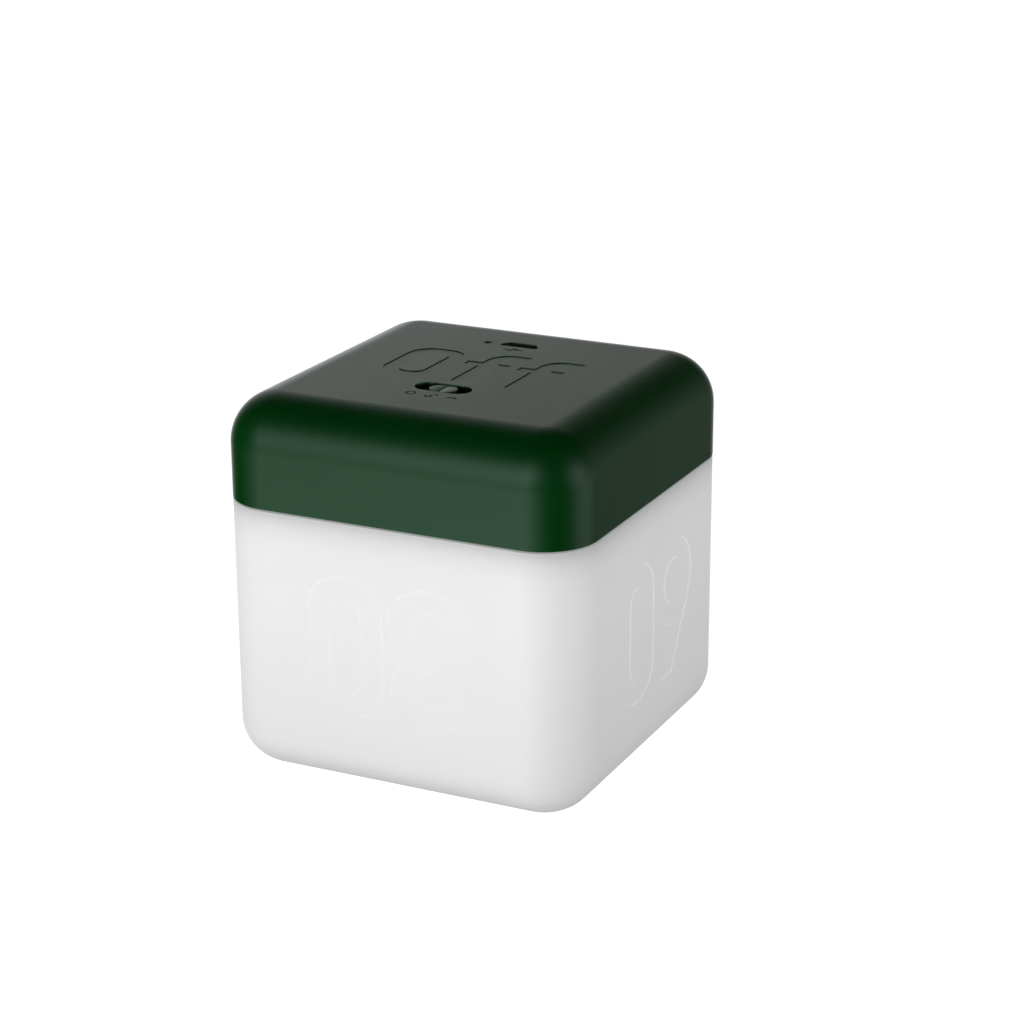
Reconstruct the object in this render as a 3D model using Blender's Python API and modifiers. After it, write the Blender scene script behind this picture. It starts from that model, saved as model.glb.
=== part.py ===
"""A cube kitchen timer with a lamp body, as an assembly of separate parts.

The timer stands on a translucent white body that is closed by a green cap. Turning the cube so
that another side faces up starts the time engraved there. The cap carries the electronics: a
circuit board with a three-position slide switch and a charging port, a battery in a tray under
the board, and a lamp board that shines down into the body.

Frame: origin at the centre of the underside, +Z up, the front (-Y) side reads 30 minutes.
Sizes below are in millimetres and angles in degrees; the scene is in metres.
"""

from math import atan2, cos, degrees, radians, sin

import bmesh
import bpy
from mathutils import Matrix, Vector

MM = 0.001

# ---- Driving sizes -------------------------------------------------------------------------
CUBE_SIDE = 75.0
SEAM_HEIGHT = 54.4  # where the cap meets the white body
EDGE_RADIUS = 10.8  # the four upright edges
TOP_RADIUS = 9.9  # the edges round the top
BASE_RADIUS = 9.5  # the edges round the underside
CAP_WALL = 2.2
BODY_WALL = 2.4
BODY_STEP = 0.06  # how far the body's sides stand back from the cap's
SEAM_GAP = 0.3
REST_GAP = 0.1  # between a part and what it is seated on

HALF = CUBE_SIDE / 2
CAP_INNER_HALF = HALF - CAP_WALL
CAP_CEILING = CUBE_SIDE - CAP_WALL
CAP_INNER_CORNER = EDGE_RADIUS - CAP_WALL
BODY_HALF = HALF - BODY_STEP
BODY_RIM = SEAM_HEIGHT - SEAM_GAP

# Lip of the body inside the cap, and the catches that hold the two together
LIP_GAP = 0.25
LIP_WALL = 1.5
LIP_ROOT = 50.0
LIP_TOP = 57.2
LIP_HALF = CAP_INNER_HALF - LIP_GAP
CATCH_LENGTH = 15.0
CATCH_REACH = 0.6
CATCH_LOW = 55.6
CATCH_HIGH = 56.6
CATCH_CLEARANCE = 0.25

# Engraved characters. Stroke and height of the numbers, and depth of the engraving.
NUMBER_HEIGHT = 27.8
NUMBER_WIDTH = 15.8
NUMBER_STROKE = 4.7
NUMBER_HALF_PITCH = 8.8
NUMBER_CENTRE_Z = 29.6
NUMBER_DEPTH = 0.14
WORD_DEPTH = 0.15
ICON_DEPTH = 0.12
ARC_STEP = 18.0  # turn of an engraved outline from one point to the next

# Levels inside the cap
BOARD_TOP = 63.4
BOARD_THICK = 1.6
BOARD_BOTTOM = BOARD_TOP - BOARD_THICK
SEAT = BOARD_TOP + REST_GAP  # underside of every part that stands on the board
FLANGE_LOW = 57.8
FLANGE_HIGH = 59.4
TRAY_FLOOR_LOW = 52.6
TRAY_FLOOR_HIGH = 54.0

# Circuit board
BOARD_HALF_X = 25.0
BOARD_FRONT = -24.0
BOARD_BACK = 25.0
BOARD_CORNER = 2.0
BOARD_HOLES = [(-21.5, -20.5), (21.5, -20.5), (21.5, 21.5), (-21.5, 21.5)]
CHASSIS_HOLES = [(-28.5, -28.5), (28.5, -28.5), (28.5, 28.5), (-28.5, 28.5)]
PILOT_RADIUS = 1.2
HOLE_RADIUS = 1.25
SCREW_RADIUS = 0.95
SCREW_LENGTH = 6.0
SCREW_HEAD_RADIUS = 1.9
SCREW_HEAD_THICK = 1.3

# Slide switch: knob in the cap, shutter under it, switch on the board
SWITCH_X = -0.45
SWITCH_Y = -13.45
SLOT_LENGTH = 11.5
SLOT_WIDTH = 5.1
SLOT_WALL = 1.0
KNOB_LENGTH = 5.6
KNOB_WIDTH = 4.1
KNOB_TOP = 74.85
KNOB_TRAVEL = 2.5  # each way from the middle position
SHUTTER_LENGTH = 20.0
SHUTTER_WIDTH = 8.0
SHUTTER_LOW = 73.3
SHUTTER_HIGH = 73.7
CAN_HEIGHT = 4.5
CAN_LENGTH = 12.0
CAN_WIDTH = 6.0
CAN_WALL = 0.3
LEVER_TOP = 70.4

# Charging port, and the light beside it
PORT_X = -0.45
PORT_Y = 19.9
PORT_OPENING = (7.7, 5.4, 2.6)  # long side, short side and height of its outline
PORT_MOUTH = 71.8
LIGHT_X = -7.35
LIGHT_Y = 19.25
LIGHT_HOLE_RADIUS = 0.75

# Battery tray and battery
TRAY_HALF_X = 28.8
TRAY_HALF_Y = 20.0
TRAY_WALL = 1.4
CELL_LOW = 55.0
CELL_HIGH = 60.6
CELL_X = (-25.5, 21.0)
CELL_HALF_Y = 17.0
LEAD_RADIUS = 0.65
LEAD_SPREAD = 1.1  # each lead of a pair from the pair's middle

# Lamp board under the tray
LAMP_BOARD_HALF = 15.0
LAMP_BOARD_HIGH = TRAY_FLOOR_LOW - REST_GAP
LAMP_BOARD_LOW = LAMP_BOARD_HIGH - 1.2
LAMP_COUNT = 6
LAMP_RING = 9.0
LAMP_SIDE = 5.0
LAMP_THICK = 1.4

COLOURS = {
    "cap_green": ((0.012, 0.050, 0.026), 0.38, 0.0),
    "knob_green": ((0.012, 0.050, 0.026), 0.38, 0.0),
    "body_white": ((0.86, 0.86, 0.86), 0.35, 0.0),
    "chassis_white": ((0.80, 0.80, 0.78), 0.5, 0.0),
    "black_plastic": ((0.012, 0.012, 0.012), 0.5, 0.0),
    "black_rubber": ((0.010, 0.010, 0.010), 0.7, 0.0),
    "clear_plastic": ((0.25, 0.25, 0.25), 0.15, 0.0),
    "tin": ((0.75, 0.75, 0.74), 0.3, 1.0),
    "brass": ((0.75, 0.58, 0.28), 0.3, 1.0),
    "screw_steel": ((0.60, 0.60, 0.61), 0.35, 1.0),
    "board_green": ((0.01, 0.11, 0.05), 0.4, 0.0),
    "lamp_board_white": ((0.80, 0.80, 0.78), 0.45, 0.0),
    "chip_black": ((0.02, 0.02, 0.022), 0.55, 0.0),
    "ferrite": ((0.05, 0.05, 0.055), 0.7, 0.0),
    "ceramic_tan": ((0.42, 0.30, 0.18), 0.5, 0.0),
    "connector_white": ((0.78, 0.76, 0.70), 0.5, 0.0),
    "pouch_silver": ((0.62, 0.63, 0.65), 0.3, 0.9),
    "foam_grey": ((0.22, 0.22, 0.23), 0.9, 0.0),
    "lead_red": ((0.45, 0.02, 0.02), 0.45, 0.0),
    "lead_black": ((0.015, 0.015, 0.015), 0.45, 0.0),
    "lamp_yellow": ((0.75, 0.60, 0.18), 0.4, 0.0),
}


# ---- Scene, materials and collections ------------------------------------------------------
def clear_scene():
    for obj in list(bpy.data.objects):
        bpy.data.objects.remove(obj, do_unlink=True)


def new_collection(name):
    made = bpy.data.collections.new(name)
    bpy.context.scene.collection.children.link(made)
    return made


def make_material(name):
    colour, roughness, metallic = COLOURS[name]
    made = bpy.data.materials.new(name)
    made.use_nodes = True
    shader = made.node_tree.nodes["Principled BSDF"]
    shader.inputs["Base Color"].default_value = (*colour, 1.0)
    shader.inputs["Roughness"].default_value = roughness
    shader.inputs["Metallic"].default_value = metallic
    return made


clear_scene()
PARTS = new_collection("cube_timer")
CUTTERS = new_collection("cutters")
MATERIALS = {name: make_material(name) for name in COLOURS}


def file_under(obj, collection):
    for other in list(obj.users_collection):
        other.objects.unlink(obj)
    collection.objects.link(obj)


def as_part(obj, name, material):
    """Names the object as one of the timer's parts and gives it its material."""
    obj.name = name
    obj.data.name = name
    obj.data.materials.clear()
    obj.data.materials.append(MATERIALS[material])
    file_under(obj, PARTS)
    return obj


def as_cutter(obj):
    obj.hide_render = True
    obj.display_type = "WIRE"
    file_under(obj, CUTTERS)
    return obj


# ---- Outlines, as lists of (x, y) points ---------------------------------------------------
def arc(centre, radius, start, end, step=ARC_STEP):
    """Points on an arc from start to end; radius is a number, or (x radius, y radius)."""
    across, along = radius if isinstance(radius, tuple) else (radius, radius)
    count = max(2, round(abs(end - start) / step))
    turns = [radians(start + (end - start) * i / count) for i in range(count + 1)]
    return [(centre[0] + across * cos(t), centre[1] + along * sin(t)) for t in turns]


def rounded_rectangle(half_x, half_y, radius, centre=(0, 0), step=ARC_STEP):
    points = []
    for start, sign_x, sign_y in ((0, 1, 1), (90, -1, 1), (180, -1, -1), (270, 1, -1)):
        corner = (
            centre[0] + sign_x * (half_x - radius),
            centre[1] + sign_y * (half_y - radius),
        )
        points += arc(corner, radius, start, start + 90, step)
    return points


def stadium(length, width, centre=(0, 0), step=ARC_STEP):
    reach = (length - width) / 2
    return arc((centre[0] + reach, centre[1]), width / 2, -90, 90, step) + arc(
        (centre[0] - reach, centre[1]), width / 2, 90, 270, step
    )


def circle(radius, centre=(0, 0), step=ARC_STEP):
    return arc(centre, radius, 0, 360 - step, step)


def port_outline(long_side, short_side, height, centre=(0, 0)):
    """The six-sided outline of the charging port, its long side to the front."""
    shoulder = -height * 0.05
    right = [(long_side / 2, -height / 2), (long_side / 2, shoulder), (short_side / 2, height / 2)]
    left = [(-x, y) for x, y in reversed(right)]
    return [(centre[0] + x, centre[1] + y) for x, y in right + left]


def moved(outlines, dx, dy, turn=0.0):
    c, s = cos(radians(turn)), sin(radians(turn))
    return [[(dx + c * x - s * y, dy + s * x + c * y) for x, y in line] for line in outlines]


# ---- Characters, each a list of closed outlines round its own centre ----------------------
def figure_0():
    half_x, half_y = NUMBER_WIDTH / 2, NUMBER_HEIGHT / 2
    inner_x, inner_y = half_x - NUMBER_STROKE, half_y - NUMBER_STROKE
    return [
        rounded_rectangle(half_x, half_y, half_x * 0.9),
        rounded_rectangle(inner_x, inner_y, inner_x * 0.9),
    ]


def figure_1():
    top = NUMBER_HEIGHT / 2
    left, right = -0.2, NUMBER_STROKE - 0.2
    return [
        [(left, -top), (right, -top), (right, top), (left, top), (-6.4, 9.4), (-6.4, 4.1), (left, 8.4)]
    ]


def figure_2():
    top, wide = NUMBER_HEIGHT / 2, 8.6
    bowl, inner = wide, wide - NUMBER_STROKE
    centre = (0, top - bowl)
    turn_end = -38
    outer = arc(centre, bowl, 180, turn_end)
    hollow = arc(centre, inner, turn_end, 180)
    base = -top + NUMBER_STROKE
    return [
        outer
        + [(-2.2, base), (wide, base), (wide, -top), (-wide, -top), (-wide, base - 0.9)]
        + hollow
    ]


def figure_3():
    """Two bowls that meet in a notch on the right, with a short bar between them."""
    bar_end = -0.45
    bar_half = 2.2
    lower_out, lower_in = (0, -6.4), (0, -5.85)
    upper_out, upper_in = (-0.15, 6.75), (-0.15, 5.92)
    return [
        arc(lower_out, (8.66, 7.58), 192, 408)
        + [(4.95, 0.45)]
        + arc(upper_out, (8.2, 7.22), -46, 170)
        + arc(upper_in, (3.64, 3.7), 148, -90)
        + [(bar_end, bar_half), (bar_end, -bar_half)]
        + arc(lower_in, (3.75, 3.65), 90, -148)
    ]


def figure_5():
    top, bowl = NUMBER_HEIGHT / 2, 8.6
    inner = bowl - NUMBER_STROKE
    centre = (0, -top + bowl)
    under_bar = top - NUMBER_STROKE
    return [
        [(7.2, top), (-7.2, top), (-7.8, -0.6), (-3.2, -0.6)]
        + arc(centre, inner, 118, -168)
        + arc(centre, bowl, -168, 106)
        + [(-2.9, under_bar), (7.2, under_bar)]
    ]


def figure_6():
    """A round bowl with a straight slanted stem that runs off its left side."""
    top, bowl = NUMBER_HEIGHT / 2, 8.85
    stroke = 4.3
    centre = Vector((0, -top + bowl))
    slant = Vector((0.492, 0.871)).normalized()
    outward = Vector((-slant.y, slant.x))
    stem_foot = centre + outward * bowl
    stem_top = stem_foot + slant * ((top - stem_foot.y) / slant.y)
    far_side = centre + outward * (bowl - stroke)
    far_top = far_side + slant * ((top - far_side.y) / slant.y)
    run = (bowl**2 - (bowl - stroke) ** 2) ** 0.5
    meets = far_side + slant * run
    start = degrees(atan2(meets.y - centre.y, meets.x - centre.x))
    end = degrees(atan2(outward.y, outward.x)) - 360
    return [
        [tuple(stem_top), tuple(far_top)] + arc(tuple(centre), bowl, start, end),
        circle(bowl - stroke, tuple(centre)),
    ]


def letter_o():
    half_x, half_y, centre = 5.9, 9.6, (0, 1.5)
    return [
        rounded_rectangle(half_x, half_y, 5.0, centre),
        rounded_rectangle(half_x - 3.15, half_y - 2.6, 2.3, centre),
    ]


def letter_f():
    """Its origin is the stem's left side on the baseline's middle height, as for the o."""
    stem, foot, crown = 3.3, -8.3, 12.4
    bar_low, bar_high, bar_left, bar_right = 3.5, 5.75, -3.0, 6.2
    hook_end, hook_thick = 7.6, 2.35
    outer_turn, inner_turn = 4.6, 1.9
    return [
        [(0, foot), (0, bar_low), (bar_left, bar_low), (bar_left, bar_high), (0, bar_high)]
        + arc((outer_turn, crown - outer_turn), outer_turn, 180, 90)
        + [(hook_end, crown), (hook_end, crown - hook_thick)]
        + arc((stem + inner_turn, crown - hook_thick - inner_turn), inner_turn, 90, 180)
        + [(stem, bar_high), (bar_right, bar_high), (bar_right, bar_low), (stem, bar_low), (stem, foot)]
    ]


FIGURES = {"0": figure_0, "1": figure_1, "2": figure_2, "3": figure_3, "5": figure_5, "6": figure_6}


def number_outlines(text):
    """Two figures side by side, centred."""
    tens = moved(FIGURES[text[0]](), -NUMBER_HALF_PITCH, 0)
    units = moved(FIGURES[text[1]](), NUMBER_HALF_PITCH, 0)
    return tens + units


def word_off():
    return moved(letter_o(), -12.4, 0) + moved(letter_f(), -1.75, 0) + moved(letter_f(), 9.65, -0.1)


def icon_ring():
    return [circle(1.05, step=30), circle(0.68, step=30)]


def icon_note():
    """A note: a round head with a stem and a flag."""
    centre = (-0.35, -0.55)
    flag = [(0.42, 0.6), (1.15, 0.35), (1.15, 0.8), (0.42, 1.15)]
    return [arc(centre, 0.78, 10, 350, 40) + flag, circle(0.42, centre, 40)]


def icon_dome():
    return [arc((0, -0.7), 1.2, 20, 160, 30) + arc((0, -0.75), 0.75, 160, 20, 30)]


def icon_bolt():
    """A lightning flash lying on its side."""
    half = [(2.3, 0.1), (-0.35, 1.0), (0.15, 0.2)]
    return [half + [(-x, -y) for x, y in half]]


# ---- Shapes --------------------------------------------------------------------------------
def apply_scale(obj):
    bpy.ops.object.select_all(action="DESELECT")
    obj.select_set(True)
    bpy.context.view_layer.objects.active = obj
    bpy.ops.object.transform_apply(location=False, rotation=False, scale=True)


def box(low, high, bevel=0.0, segments=2):
    """A box between two corners, its edges rounded by bevel."""
    low, high = Vector(low) * MM, Vector(high) * MM
    bpy.ops.mesh.primitive_cube_add(size=1, location=(low + high) / 2)
    obj = bpy.context.active_object
    obj.scale = high - low
    apply_scale(obj)
    if bevel:
        rounding = obj.modifiers.new("rounded edges", "BEVEL")
        rounding.width = bevel * MM
        rounding.segments = segments
    return obj


def cylinder(radius, low, high, centre=(0, 0), sides=16):
    bpy.ops.mesh.primitive_cylinder_add(
        vertices=sides,
        radius=radius * MM,
        depth=(high - low) * MM,
        location=(centre[0] * MM, centre[1] * MM, (low + high) / 2 * MM),
    )
    shade_round(bpy.context.active_object.data)
    return bpy.context.active_object


def shade_round(mesh):
    """Shades round faces smooth and keeps the corners sharp."""
    mesh.shade_smooth()
    mesh.set_sharp_from_angle(angle=radians(35))


def to_mesh_object(source):
    """The evaluated shape of a curve, or of a profile and its modifiers, as one welded mesh."""
    graph = bpy.context.evaluated_depsgraph_get()
    mesh = bpy.data.meshes.new_from_object(source.evaluated_get(graph))
    bm = bmesh.new()
    bm.from_mesh(mesh)
    bmesh.ops.remove_doubles(bm, verts=bm.verts, dist=0.001 * MM)
    bmesh.ops.recalc_face_normals(bm, faces=bm.faces)
    bm.to_mesh(mesh)
    bm.free()
    shade_round(mesh)
    obj = bpy.data.objects.new(source.name, mesh)
    obj.matrix_world = source.matrix_world.copy()
    bpy.context.scene.collection.objects.link(obj)
    bpy.data.objects.remove(source, do_unlink=True)
    return obj


def extruded(outlines, low, high):
    """A flat outline, with its holes, made as thick as low to high along Z."""
    flat = bpy.data.curves.new("outline", "CURVE")
    flat.dimensions = "2D"
    flat.fill_mode = "BOTH"
    flat.extrude = (high - low) / 2 * MM
    for points in outlines:
        spline = flat.splines.new("POLY")
        spline.points.add(len(points) - 1)
        for slot, (x, y) in zip(spline.points, points):
            slot.co = (x * MM, y * MM, 0, 1)
        spline.use_cyclic_u = True
    curve = bpy.data.objects.new("outline", flat)
    curve.location.z = (low + high) / 2 * MM
    bpy.context.scene.collection.objects.link(curve)
    bpy.context.view_layer.update()
    return to_mesh_object(curve)


def turned(profile, centre=(0, 0), steps=20):
    """A solid of revolution about Z; the profile's (radius, height) points run top to bottom."""
    mesh = bpy.data.meshes.new("turned")
    points = [(radius * MM, 0, height * MM) for radius, height in profile]
    mesh.from_pydata(points, [(i, i + 1) for i in range(len(points) - 1)], [])
    obj = bpy.data.objects.new("turned", mesh)
    obj.location = (centre[0] * MM, centre[1] * MM, 0)
    bpy.context.scene.collection.objects.link(obj)
    screw = obj.modifiers.new("turn", "SCREW")
    screw.steps = screw.render_steps = steps
    screw.use_merge_vertices = True
    screw.merge_threshold = 0.00001
    bpy.context.view_layer.update()
    return to_mesh_object(obj)


def tube(points, radius):
    """A round lead along a smooth curve through the given points."""
    line = smooth_line(points, radius * 4)
    path = bpy.data.curves.new("lead", "CURVE")
    path.dimensions = "3D"
    path.bevel_depth = radius * MM
    path.bevel_resolution = 2
    path.use_fill_caps = True
    spline = path.splines.new("POLY")
    spline.points.add(len(line) - 1)
    for slot, point in zip(spline.points, line):
        slot.co = (*(point * MM), 1)
    obj = bpy.data.objects.new("lead", path)
    bpy.context.scene.collection.objects.link(obj)
    return obj


def smooth_line(points, spacing):
    """Points about spacing apart on the Catmull-Rom curve through the given points."""
    points = [Vector(p) for p in points]
    ends = [2 * points[0] - points[1], *points, 2 * points[-1] - points[-2]]
    line = [points[0]]
    for a, b, c, d in zip(ends, ends[1:], ends[2:], ends[3:]):
        count = max(1, round((c - b).length / spacing))
        for i in range(1, count + 1):
            t = i / count
            line.append(
                0.5
                * (2 * b + (c - a) * t + (2 * a - 5 * b + 4 * c - d) * t**2 + (3 * b - a - 3 * c + d) * t**3)
            )
    return line


def combine(target, others, operation):
    """Cuts the others from the target, or joins them to it, as one Boolean."""
    group = bpy.data.collections.new("shapes for a Boolean")
    CUTTERS.children.link(group)
    for other in others:
        as_cutter(other)
        CUTTERS.objects.unlink(other)
        group.objects.link(other)
    boolean = target.modifiers.new(operation.lower(), "BOOLEAN")
    boolean.operation = operation
    boolean.operand_type = "COLLECTION"
    boolean.collection = group
    return target


def cut(target, *cutters):
    return combine(target, cutters, "DIFFERENCE")


def join(target, *others):
    return combine(target, others, "UNION")


def rounded_shell(half, low, high, corner_radius, end_radius, wall, closed_at_top):
    """A square box with rounded edges, open at one end and hollow, its wall turned inwards."""
    bm = bmesh.new()
    bmesh.ops.create_cube(bm, size=1.0)
    size = Vector((2 * half, 2 * half, high - low)) * MM
    bmesh.ops.scale(bm, vec=size, verts=bm.verts)
    bmesh.ops.translate(bm, vec=(0, 0, (low + high) / 2 * MM), verts=bm.verts)
    closed_end = (high if closed_at_top else low) * MM
    open_end = (low if closed_at_top else high) * MM

    def at_level(element, level):
        return all(abs(v.co.z - level) < 1e-6 for v in element.verts)

    bmesh.ops.delete(bm, geom=[f for f in bm.faces if at_level(f, open_end)], context="FACES_ONLY")
    upright = [e for e in bm.edges if abs(e.verts[0].co.z - e.verts[1].co.z) > 1e-6]
    bmesh.ops.bevel(
        bm, geom=upright, offset=corner_radius * MM, segments=8, profile=0.5, affect="EDGES"
    )
    rim = [e for e in bm.edges if at_level(e, closed_end)]
    bmesh.ops.bevel(bm, geom=rim, offset=end_radius * MM, segments=6, profile=0.5, affect="EDGES")
    bmesh.ops.recalc_face_normals(bm, faces=bm.faces)
    top = max(bm.faces, key=lambda f: abs(f.normal.z))
    if (top.normal.z > 0) != closed_at_top:
        bmesh.ops.reverse_faces(bm, faces=bm.faces)
    mesh = bpy.data.meshes.new("shell")
    bm.to_mesh(mesh)
    bm.free()
    shade_round(mesh)
    obj = bpy.data.objects.new("shell", mesh)
    bpy.context.scene.collection.objects.link(obj)
    wall_modifier = obj.modifiers.new("wall", "SOLIDIFY")
    wall_modifier.thickness = wall * MM
    wall_modifier.offset = -1
    wall_modifier.use_even_offset = True
    return obj


# ---- Housing -------------------------------------------------------------------------------
def engraving(outlines, depth, face):
    """Cutters for characters in one of the cube's faces; face is the matrix of its outer plane."""
    made = []
    for group in split_characters(outlines):
        cutter = extruded(group, -depth, depth)
        cutter.matrix_world = face @ cutter.matrix_world
        made.append(cutter)
    return made


def split_characters(outlines):
    """Outlines grouped so that each hole goes with the outline round it."""
    groups = []
    for line in outlines:
        x, y = line[0]
        for group in groups:
            outer = group[0]
            inside_x = min(p[0] for p in outer) < x < max(p[0] for p in outer)
            inside_y = min(p[1] for p in outer) < y < max(p[1] for p in outer)
            if inside_x and inside_y:
                group.append(line)
                break
        else:
            groups.append([line])
    return groups


def side_face(turn, shift):
    """The outer plane of one upright side of the body, its text upside down as on the timer.

    turn is the side's angle about Z from the front, and shift moves the text sideways.
    """
    outward = Matrix.Rotation(radians(turn), 4, "Z")
    place = Matrix.Translation(Vector((shift, -BODY_HALF, NUMBER_CENTRE_Z)) * MM)
    upright = Matrix.Rotation(radians(90), 4, "X")
    upside_down = Matrix.Rotation(radians(180), 4, "Z")
    return outward @ place @ upright @ upside_down


def bottom_face():
    return Matrix.Rotation(radians(180), 4, "X")


def top_face(x=0.0, y=0.0):
    return Matrix.Translation(Vector((x, y, CUBE_SIDE)) * MM)


def bosses(holes, radius, low):
    """Round posts hanging from the cap's ceiling at each of the holes."""
    top = CAP_CEILING + 0.4
    return [cylinder(radius, low, top, hole, 16) for hole in holes]


def pilots(holes, low, depth):
    return [cylinder(PILOT_RADIUS, low - 1, low + depth, hole, 12) for hole in holes]


def catch_boxes(reach, length, low, high, inner):
    """Four boxes, one at the middle of each side, from inner out to reach."""
    half = length / 2
    sides = [
        ((-half, inner), (half, reach)),
        ((-half, -reach), (half, -inner)),
        ((inner, -half), (reach, half)),
        ((-reach, -half), (-inner, half)),
    ]
    return [box((*a, low), (*b, high)) for a, b in sides]


def make_top_cap():
    cap = rounded_shell(
        HALF, SEAM_HEIGHT, CUBE_SIDE, EDGE_RADIUS, TOP_RADIUS, CAP_WALL, closed_at_top=True
    )
    join(
        cap,
        *bosses(BOARD_HOLES, 2.3, BOARD_TOP + REST_GAP),
        *bosses(CHASSIS_HOLES, 3.0, FLANGE_HIGH + REST_GAP),
    )
    shutter_room = (SHUTTER_LENGTH / 2 + KNOB_TRAVEL + 0.5, SHUTTER_WIDTH / 2 + 0.5)
    notch_reach = LIP_HALF + CATCH_REACH + CATCH_CLEARANCE
    cut(
        cap,
        *pilots(BOARD_HOLES, BOARD_TOP + REST_GAP, 6.5),
        *pilots(CHASSIS_HOLES, FLANGE_HIGH + REST_GAP, 6.5),
        extruded([stadium(SLOT_LENGTH, SLOT_WIDTH, (SWITCH_X, SWITCH_Y))], 70, 80),
        box(
            (SWITCH_X - shutter_room[0], SWITCH_Y - shutter_room[1], CAP_CEILING - 2),
            (SWITCH_X + shutter_room[0], SWITCH_Y + shutter_room[1], CUBE_SIDE - SLOT_WALL),
        ),
        extruded([port_outline(*PORT_OPENING, (PORT_X, PORT_Y))], 70, 80),
        cylinder(LIGHT_HOLE_RADIUS, 70, 80, (LIGHT_X, LIGHT_Y), 16),
        *catch_boxes(
            notch_reach,
            CATCH_LENGTH + 2 * CATCH_CLEARANCE,
            CATCH_LOW - CATCH_CLEARANCE,
            CATCH_HIGH + CATCH_CLEARANCE,
            CAP_INNER_HALF - 2,
        ),
        *engraving(word_off(), WORD_DEPTH, top_face()),
        *engraving(icon_ring(), ICON_DEPTH, top_face(-4.6, -18.8)),
        *engraving(icon_note(), ICON_DEPTH, top_face(-0.2, -18.8)),
        *engraving(icon_dome(), ICON_DEPTH, top_face(4.05, -18.8)),
        *engraving(icon_bolt(), ICON_DEPTH, top_face(-0.4, 16.1)),
    )
    as_part(cap, "top_cap", "cap_green")


def make_lower_body():
    body = rounded_shell(
        BODY_HALF,
        0.0,
        BODY_RIM,
        EDGE_RADIUS - BODY_STEP,
        BASE_RADIUS - BODY_STEP,
        BODY_WALL,
        closed_at_top=False,
    )
    corner = EDGE_RADIUS - CAP_WALL - LIP_GAP
    lip = extruded(
        [
            rounded_rectangle(LIP_HALF, LIP_HALF, corner, step=15),
            rounded_rectangle(LIP_HALF - LIP_WALL, LIP_HALF - LIP_WALL, corner - LIP_WALL, step=15),
        ],
        LIP_ROOT,
        LIP_TOP,
    )
    catches = catch_boxes(
        LIP_HALF + CATCH_REACH, CATCH_LENGTH, CATCH_LOW, CATCH_HIGH, LIP_HALF - LIP_WALL / 2
    )
    join(body, lip, *catches)
    cut(
        body,
        *engraving(number_outlines("30"), NUMBER_DEPTH, side_face(0, -0.65)),
        *engraving(number_outlines("60"), NUMBER_DEPTH, side_face(90, 0.7)),
        *engraving(number_outlines("10"), NUMBER_DEPTH, side_face(180, 0)),
        *engraving(number_outlines("20"), NUMBER_DEPTH, side_face(270, 0)),
        *engraving(number_outlines("05"), NUMBER_DEPTH, bottom_face()),
    )
    as_part(body, "lower_body", "body_white")


def make_inner_chassis():
    """A flange screwed to the cap, with a tray for the battery and clips for the lamp board."""
    flange_half = CAP_INNER_HALF - 0.3
    chassis = extruded(
        [rounded_rectangle(flange_half, flange_half, CAP_INNER_CORNER - 0.3, step=15)],
        FLANGE_LOW,
        FLANGE_HIGH,
    )
    outer_x, outer_y = TRAY_HALF_X + TRAY_WALL, TRAY_HALF_Y + TRAY_WALL
    tray = box((-outer_x, -outer_y, TRAY_FLOOR_LOW), (outer_x, outer_y, FLANGE_HIGH - 0.5))
    join(chassis, tray, *lamp_clips())
    cut(
        chassis,
        box((-TRAY_HALF_X, -TRAY_HALF_Y, TRAY_FLOOR_HIGH), (TRAY_HALF_X, TRAY_HALF_Y, FLANGE_HIGH + 1)),
        extruded([stadium(6.5, 2.2, (0, -18.6), 30)], TRAY_FLOOR_LOW - 1, TRAY_FLOOR_HIGH + 1),
        *[cylinder(HOLE_RADIUS, FLANGE_LOW - 1, FLANGE_HIGH + 1, h, 12) for h in CHASSIS_HOLES],
    )
    as_part(chassis, "inner_chassis", "chassis_white")


def lamp_clips():
    """Hooks under the tray floor that hold the lamp board's two side edges."""
    made = []
    inner, outer = LAMP_BOARD_HALF + 0.2, LAMP_BOARD_HALF + 1.5
    hook_high = LAMP_BOARD_LOW - 0.2
    for side in (-1, 1):
        for y in (-8.0, 8.0):
            xs = sorted((side * inner, side * outer))
            made.append(box((xs[0], y - 1.5, hook_high - 0.8), (xs[1], y + 1.5, TRAY_FLOOR_LOW + 0.5)))
            xs = sorted((side * (inner - 0.9), side * (outer - 0.1)))
            made.append(box((xs[0], y - 1.4, hook_high - 0.7), (xs[1], y + 1.4, hook_high)))
    return made


def make_screw(name, hole, underside):
    """A pan-head screw that points up; underside is the level its head is pulled against."""
    low = underside - REST_GAP - SCREW_HEAD_THICK
    screw = turned(
        [
            (0, low + SCREW_HEAD_THICK + SCREW_LENGTH),
            (SCREW_RADIUS * 0.5, low + SCREW_HEAD_THICK + SCREW_LENGTH),
            (SCREW_RADIUS, low + SCREW_HEAD_THICK + SCREW_LENGTH - 0.9),
            (SCREW_RADIUS, low + SCREW_HEAD_THICK),
            (SCREW_HEAD_RADIUS, low + SCREW_HEAD_THICK),
            (SCREW_HEAD_RADIUS, low + 0.5),
            (SCREW_HEAD_RADIUS * 0.7, low),
            (0, low),
        ],
        hole,
        steps=12,
    )
    x, y = hole
    cut(
        screw,
        box((x - 1.1, y - 0.22, low - 1), (x + 1.1, y + 0.22, low + 0.7)),
        box((x - 0.22, y - 1.1, low - 1), (x + 0.22, y + 1.1, low + 0.7)),
    )
    as_part(screw, name, "screw_steel")


def make_screws():
    for number, hole in enumerate(BOARD_HOLES, 1):
        make_screw(f"board_screw_{number}", hole, BOARD_BOTTOM)
    for number, hole in enumerate(CHASSIS_HOLES, 1):
        make_screw(f"chassis_screw_{number}", hole, FLANGE_LOW)


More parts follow.
